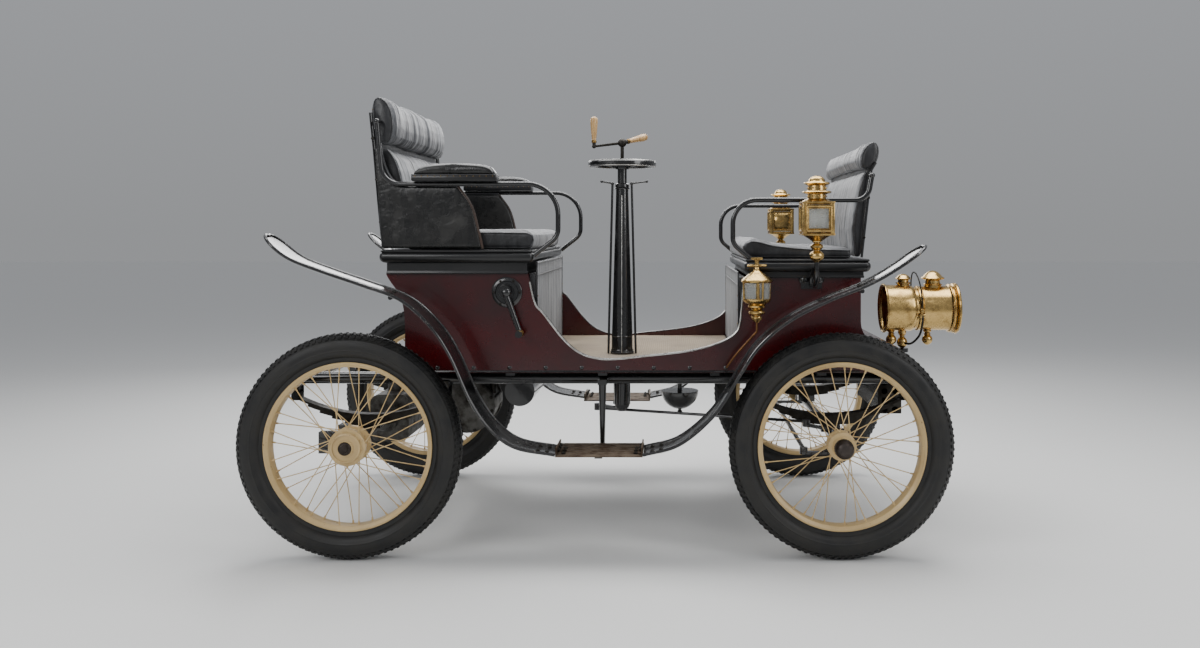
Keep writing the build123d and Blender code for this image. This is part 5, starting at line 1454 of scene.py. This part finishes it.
ball_at = Vector((COLUMN.x, COLUMN.y, COLUMN.z + 73))
elbow_at = ball_at + Vector((-97, 0, -12))
slant = Vector((0.72, 0.62, 0.24)).normalized()
GRIP = [(8.5, 8), (7.8, 10), (8.4, 18), (9.8, 34), (11.6, 54), (12.8, 70), (13, 78), (11.8, 84),
        (8.5, 88.5),
        (4, 90.6), (0, 91)]
bm = bmesh.new()
for foot, direction in ((elbow_at + Vector((0, 0, 12)), Vector((0, 0, 1))), (ball_at + slant * 22, slant)):
    add_lathe(bm, [(0, 7)] + GRIP, foot, direction, 28)
    add_lathe(bm, [(0, 0), (7.5, 0), (8.8, 1.5), (8.8, 8), (8, 9.5), (0, 9.5)], foot, direction, 24, 1)
piece("boxwood_grips", bm, [boxwood, old_brass], "steering_lever", ["lever_grips"])

column_high = in_mm("steering_column")[1]
base_z = mat_high.z
bm = bmesh.new()
for height in (base_z + 5, column_high.z - 74):
    for i in range(8):
        angle = 2 * math.pi * (i + 0.5) / 8
        reach = 33 if height < 700 else 20.5
        if height < 700:
            add_nut(bm, (COLUMN.x + reach * math.cos(angle), COLUMN.y + reach * math.sin(angle), height),
                    (0, 0, 1),
                    7, 3)
        else:
            add_lathe(bm, [(0, 0), (3, 0), (2.4, 1.6), (0, 2.4)], (COLUMN.x + reach * math.cos(angle),
                      COLUMN.y + reach * math.sin(angle), height), (math.cos(angle), math.sin(angle), 0), 8)
# A thin bright steel line down the column's camera-facing side: a painted highlight.
add_tube(bm, [(COLUMN.x, COLUMN.y - 40, base_z + 7), (COLUMN.x, COLUMN.y - 22, column_high.z - 90)], 1.6,
         6, 1)
for height, reach in ((base_z + 13, 38), (base_z + 60, 36), (column_high.z - 66, 25.5)):
    add_lathe(bm, [(reach - 6, -2.5), (reach, -2.5), (reach + 1, 0), (reach, 2.5), (reach - 6, 2.5),
                   (reach - 6, -2.5)], (COLUMN.x, COLUMN.y, height), steps=40)
piece("column_fittings", bm, [enamel, bright_steel], "root")
print("column", tuple(round(v) for v in COLUMN))


# %% [markdown]
# ## Fenders and steps
# A fender is one long iron strip with a wired edge: the sheet is rolled round a stiff wire along both sides
# and round the tip. So one tree of points, the centre line, gives the sheet, and the bead is a single round
# wire that runs up one side, round the tip and back. The steps are worn plates with turned-up ends.

# %% Fenders
rear_wheel, front_wheel = centre_of("rear_left_wheel") / MM, centre_of("front_left_wheel") / MM
step_low, step_high = in_mm("steps")
STEP_Z = step_high.z
fender_low, fender_high = in_mm("left_rear_fender")
FENDER_Y, FENDER_HALF, BEAD = (fender_low.y + fender_high.y) / 2, (fender_high.y - fender_low.y) / 2, 5
FENDER_LINES = {
    "rear": from_point(rear_wheel.x, rear_wheel.z, [
        (-260, 661), (-178, 592), (-71, 548), (52, 506), (175, 459), (267, 377), (328, 285), (389, 150),
        (451, 61),
        (527, 6)]) + [(step_low.x - 0.6, STEP_Z + 1)],
    "front": [(p[0], p[1]) for p in reversed([(step_high.x + 0.6, STEP_Z + 1)] + from_point(
        front_wheel.x, front_wheel.z, [(-507, 15), (-399, 107), (-322, 227), (-261, 316), (-169, 394),
                                       (-46, 457),
                                       (76, 506), (168, 558), (263, 626)]))],
}


def above(ahead):
    """The upward direction square to a fender's line."""
    up = Vector((-ahead.z, 0, ahead.x))
    return up if up.z > 0 else -up


def fender_stations(line, spacing=14):
    """Even stations from the tip down: place, direction and the sheet's half width there."""
    path = smooth_path([(x, 0, z) for x, z in line], 10)
    stations, run = [], 0.0
    reach = FENDER_HALF - BEAD
    total = sum((b - a).length for a, b in zip(path, path[1:]))
    count = max(2, round(total / spacing))
    wanted = sorted([total * i / count for i in range(count + 1)] +
                    [reach * (1 - math.cos(math.radians(a))) for a in (14, 28, 42, 56, 70, 84)])
    for a, b in zip(path, path[1:]):
        length = (b - a).length
        while wanted and wanted[0] <= run + length + 1e-6:
            at = wanted.pop(0)
            spot = a.lerp(b, (at - run) / length)
            short = max(0.0, reach - at)
            stations.append((spot, (b - a).normalized(), math.sqrt(max(reach ** 2 - short ** 2, 9.0))))
        run += length
    return stations


def fender(line, side, stay_x):
    bm, y = bmesh.new(), side * FENDER_Y
    stations = fender_stations(line)
    tip_shift = stations[0][1] * BEAD
    rings, left, right = [], [], []
    for i, (spot, ahead, half) in enumerate(stations):
        if i == 0:
            spot = spot + tip_shift
        up = above(ahead)
        dish = [(-half, 0), (-half * 0.5, -2.2), (0, -3), (half * 0.5, -2.2), (half, 0)]
        over = [spot + Vector((0, y + w, 0)) + up * (h + 1.4) for w, h in dish]
        under = [spot + Vector((0, y + w, 0)) + up * (h - 1.4) for w, h in reversed(dish)]
        rings.append([bm.verts.new(p * MM) for p in over + under])
        left.append(spot + Vector((0, y + half, 0)))
        right.append(spot + Vector((0, y - half, 0)))
    join_rings(bm, rings, 0)
    for end in (rings[0], rings[-1]):
        bm.faces.new(end).material_index = 0
    # The bead takes the lighter rubbed enamel, which is partly real wear and partly a painted highlight.
    add_tube(bm, list(reversed(left)) + right, BEAD, 10, 1)
    for i in (3, 5):
        spot, ahead, _ = stations[-i]
        up = above(ahead)
        for across in (-34, 34):
            add_nut(bm, spot + Vector((0, y + across, 0)) - up * 2, up, 12, 5, 2)
    middle = min(stations, key=lambda station: abs(station[0].x - stay_x))
    up = above(middle[1])
    for across in (-30, 30):
        add_nut(bm, middle[0] + Vector((0, y + across, 0)) - up * 2, up, 13, 5, 2)
    return bm


stay_low, stay_high = in_mm("fender_stays")
STAY_X = {"rear": stay_low.x + 7, "front": stay_high.x - 7}
for end, line in FENDER_LINES.items():
    for side, label in ((1, "left"), (-1, "right")):
        piece(f"{label}_{end}_wing", fender(line, side, STAY_X[end]), [enamel, rubbed_and_highlit_enamel, dark_steel],
              "root",
              [f"{label}_{end}_fender"])

# %% Steps
for side, label in ((1, "left"), (-1, "right")):
    bm = bmesh.new()
    y_low, y_high = sorted((side * step_high.y, side * (step_high.y - 195)))
    add_plate(bm, (step_low.x, y_low, STEP_Z - 5), (step_high.x, y_high, STEP_Z), 1.6)
    for i in range(7):
        y = y_low + (y_high - y_low) * (i + 0.5) / 7
        add_plate(bm, (step_low.x + 12, y - 4.5, STEP_Z - 1), (step_high.x - 12, y + 4.5, STEP_Z + 1.4),
                  1.0)
    for x, facing in ((step_low.x + 3, -1), (step_high.x - 3, 1)):
        add_plate(bm, (x - 2.5, y_low + 4, STEP_Z - 2), (x + 2.5, y_high - 58, STEP_Z + 24), 1.2)
        for across in (30, 68, 104):
            spot = side * (step_high.y - across)
            add_nut(bm, (x - facing * 2, spot, STEP_Z + 13), (-facing, 0, 0), 11, 6, 1)
            add_nut(bm, (x - facing * 20, spot, STEP_Z - 1), (0, 0, 1), 12, 6, 1)
    piece(f"{label}_step_plate", bm, [step_steel, dark_steel], "root", ["steps"])
print("fenders", round(FENDER_Y), "step top", round(STEP_Z, 1))


# %% [markdown]
# ## Coachwork trim
# A half-round steel strip is pinned along the doorway's edge to save the paint from boots. It follows the
# side's own top edge, so its path is read by dropping rays onto that edge.

# %% Doorway strips
def top_edge(node, y, x_start, x_end, step):
    body = frame["nodes"][node]
    surface = surface_of(body.data)
    path, x = [], x_start
    while (x - x_end) * step < 0:
        spot = surface.ray_cast(Vector((x, y, 1500)) * MM, Vector((0, 0, -1)))[0]
        if spot:
            path.append(spot / MM)
        x += step
    return path


for side, label in ((1, "left"), (-1, "right")):
    low, high = in_mm(f"{label}_body_side")
    outer = high.y if side > 0 else low.y
    edge = [p for p in top_edge(f"{label}_body_side", outer - side * 8, rear_high.x - 16, front_low.x + 3,
                                6)
            if p.z < 880]
    eased = [(before + spot * 2 + after) / 4 for before, spot, after in zip(edge, edge[1:], edge[2:])]
    edge = [edge[0]] + eased + [edge[-1]]
    bm = bmesh.new()
    add_tube(bm, [(p.x, outer - side * 1.5, p.z + 0.5) for p in edge], 3.4, 8)
    add_tube(bm, [(p.x, outer - side * 14, p.z + 0.8) for p in edge], 2.6, 8, 1)
    piece(f"{label}_doorway_strip", bm, [bright_steel, enamel], "root")
    bm = bmesh.new()
    foot = low.z
    add_tube(bm, [(low.x + 6, outer, foot + 5), (high.x - 126, outer, foot + 5)], 3.6, 8)
    for x in range(int(low.x) + 50, int(high.x) - 130, 118):
        add_lathe(bm, [(0, -1), (7, -1), (7, 0.6), (4.5, 2.6), (0, 3.2)], (x, outer, foot + 17),
                  (0, side, 0), 14)
    piece(f"{label}_sill_moulding", bm, [enamel], "root")
    print(label, "doorway strip", len(edge), "points")

# %% Starting handle and lamp brackets
SIDE_Y = in_mm("left_body_side")[1].y
BOLT_Z = LAMP_Z - 61
boss_low, boss_high = in_mm("starting_handle")
BOSS = Vector((boss_low.x + 50, -SIDE_Y, boss_high.z - 50))
bm = bmesh.new()
add_lathe(bm, [(0, 0), (47, 0), (49, 2), (49, 5), (46, 7), (38, 8), (36, 6), (24, 6), (23, 12), (0, 12)],
          BOSS + Vector((0, -1, 0)), (0, -1, 0), 44)
add_lathe(bm, [(0, 10), (15, 10), (17, 14), (17, 28), (14, 33), (7, 37), (0, 38)], BOSS, (0, -1, 0), 28)
for i in range(6):
    angle = 2 * math.pi * i / 6
    add_nut(bm, BOSS + Vector((42 * math.cos(angle), -5, 42 * math.sin(angle))), (0, -1, 0), 8, 4, 1)
piece("starting_dog", bm, [enamel, dark_steel], "root")
bm = bmesh.new()
grip_x, grip_z = boss_high.x - 12, boss_low.z + 12
add_lathe(bm, [(0, 0), (11, 0), (12.5, 4), (12.5, 9), (10.5, 12), (10.5, 28), (12, 32), (12, 38), (8, 42),
               (0, 43)],
          (grip_x, -SIDE_Y - 18, grip_z), (0, -1, 0), 24)
piece("starting_grip", bm, [old_brass], "root")
bm = bmesh.new()
for side in (-1, 1):
    for x in (LAMP_X - 24, LAMP_X + 24):
        add_lathe(bm, [(0, 0), (15, 0), (17, 3), (15, 6), (12, 7), (12, 9), (9, 12), (5, 14), (0, 15)],
                  (x, side * SIDE_Y, BOLT_Z), (0, side, 0), 20)
        add_nut(bm, (x, side * (SIDE_Y + 13), BOLT_Z), (0, side, 0), 9, 4)
    curve = smooth_path([(LAMP_X, side * y, LAMP_Z - drop) for y, drop in (
        (SIDE_Y + 10, 79), (SIDE_Y + 18, 49), (SIDE_Y + 64, 24), (LAMP_Y - 8, 15), (LAMP_Y, 1))], 5)
    add_tube(bm, curve, 7.5, 10)
piece("lamp_bracket_forgings", bm, [enamel], "root")


# %% [markdown]
# ## Under the body
# What hangs below is rough work in cast and forged metal: a crankcase and two finned cylinders, a radiator
# of gilled tubes across the nose, springs with clips, and a bell that the driver's foot strikes.

# %% Radiator, engine and gong finial
rad_low, rad_high = in_mm("radiator")
bm = bmesh.new()
gill = bmesh.new()
depth, height = rad_high.x - rad_low.x, rad_high.z - rad_low.z
add_plate(gill, (-depth / 2, -0.6, -height / 2 + 5), (depth / 2, 0.6, height / 2 - 5), 0.4)
count = 52
pitch = (rad_high.y - rad_low.y - 24) / (count - 1)
add_mesh(bm, grow(gill, row, count=count, step=Vector((0, pitch, 0)) * MM, wobble=0.01, material=enamel),
         ((rad_low.x + rad_high.x) / 2, rad_low.y + 12, (rad_low.z + rad_high.z) / 2))
for i in range(4):
    z = rad_low.z + height * (i + 0.5) / 4
    for x in (rad_low.x + depth * 0.28, rad_low.x + depth * 0.72):
        add_lathe(bm, [(0, 0), (10, 0), (10, rad_high.y - rad_low.y), (0, rad_high.y - rad_low.y)],
                  (x, rad_low.y, z), (0, 1, 0), 14, 1)
for y in (rad_low.y, rad_high.y - 10):
    add_plate(bm, (rad_low.x, y, rad_low.z), (rad_high.x, y + 10, rad_high.z), 3, 1)
piece("gilled_radiator", bm, [enamel, dark_steel], "root", ["radiator"])

eng_low, eng_high = in_mm("engine")
mid_x = (eng_low.x + eng_high.x) / 2
bm = bmesh.new()
half_w = (eng_high.y - eng_low.y) / 2
case_z = eng_low.z + 102
add_lathe(bm, [(0, 0), (86, 0), (96, 5), (100, 12), (100, 24), (94, 28), (94, 2 * half_w - 28),
               (100, 2 * half_w - 24),
               (100, 2 * half_w - 12), (96, 2 * half_w - 5), (86, 2 * half_w), (0, 2 * half_w)],
          (mid_x, -half_w, case_z), (0, 1, 0), 48)
bolts = bmesh.new()
add_nut(bolts, (92, 0, 0), (0, -1, 0), 12, 6)
add_mesh(bm, grow(bolts, ring, count=12, first_angle=0.2, material=dark_steel),
         (mid_x, -half_w + 6.5, case_z), 1)
for y in (-44, 44):
    barrel = [(0, 0), (40, 0), (40, 20)]
    for k in range(12):
        barrel += [(40, 24 + 14 * k), (47, 25 + 14 * k), (47, 28 + 14 * k), (40, 29 + 14 * k)]
    barrel += [(40, 200), (44, 204), (44, 232), (38, 238), (0, 238)]
    add_lathe(bm, barrel, (mid_x, y, case_z + 78), steps=32)
add_plate(bm, (eng_low.x + 14, -half_w + 8, case_z - 14), (eng_high.x - 4, half_w - 8, case_z + 26), 5)
add_tube(bm, smooth_path([(mid_x + 6, -48, eng_high.z - 16), (mid_x + 40, -60, eng_high.z - 20),
                          (mid_x + 82, -60, eng_high.z - 70), (mid_x + 88, -52, case_z + 40)]), 12, 14, 1)
piece("crankcase_and_cylinders", bm, [cast_alloy, dark_steel], "root", ["engine"])

gong_low, gong_high = in_mm("foot_gong")
gx, gy = (gong_low.x + gong_high.x) / 2, (gong_low.y + gong_high.y) / 2
bm = bmesh.new()
add_lathe(bm, [(0, 0), (3, 0), (8, 4), (9, 9), (6, 13), (6, 16), (11, 18), (11, 21), (0, 22)],
          (gx, gy, gong_low.z - 1), steps=20)
piece("gong_finial", bm, [dark_steel], "root")
print("engine", tuple(round(v) for v in eng_low), tuple(round(v) for v in eng_high))


# %% [markdown]
# ### Ironwork on the seats
# A flat iron with bolts stiffens the back edge of the tall seat, and rows of brass-headed nails close the
# leather along the rolls' rear edges.

# %% Back irons and nails
for side, label in ((1, "left"), (-1, "right")):
    bm = bmesh.new()
    y = side * (PAD_HALF + 3)
    iron = from_point(rear_x, rear_z, [(4, 4), (-11, 160), (-26, 334), (-33, 400), (-38, 450)])
    add_tube(bm, [(x, y, z) for x, z in iron], 6.5, 10, flat=0.6)
    for x, z in from_point(rear_x, rear_z, [(-4, 90), (-17, 230), (-30, 365)]):
        add_nut(bm, (x, y + side * 4, z), (0, side, 0), 10, 3.5, 1)
    iron = from_point(front_x, front_z, [(-24, 4), (-8, 150), (8, 291), (23, 316)])
    add_tube(bm, [(x, y, z) for x, z in iron], 5.5, 10, flat=0.6)
    for x, z in from_point(front_x, front_z, [(-17, 70), (-2, 200)]):
        add_nut(bm, (x, y + side * 3, z), (0, side, 0), 9, 3.5, 1)
    piece(f"{label}_back_irons", bm, [enamel, dark_steel], "root")
bm = bmesh.new()
for x, z, tilt in ((front_x + 33.5, front_z + 352, (1, 0, 0.05)), (rear_x - 37, rear_z + 462, (-1, 0, 0.1)),
                   (rear_x - 20, rear_z + 300, (-1, 0, -0.1))):
    add_nails(bm, (x, -PAD_HALF + 14, z), (0, 26, 0), 29, tilt, 0)
piece("back_nails", bm, [old_brass], "root")
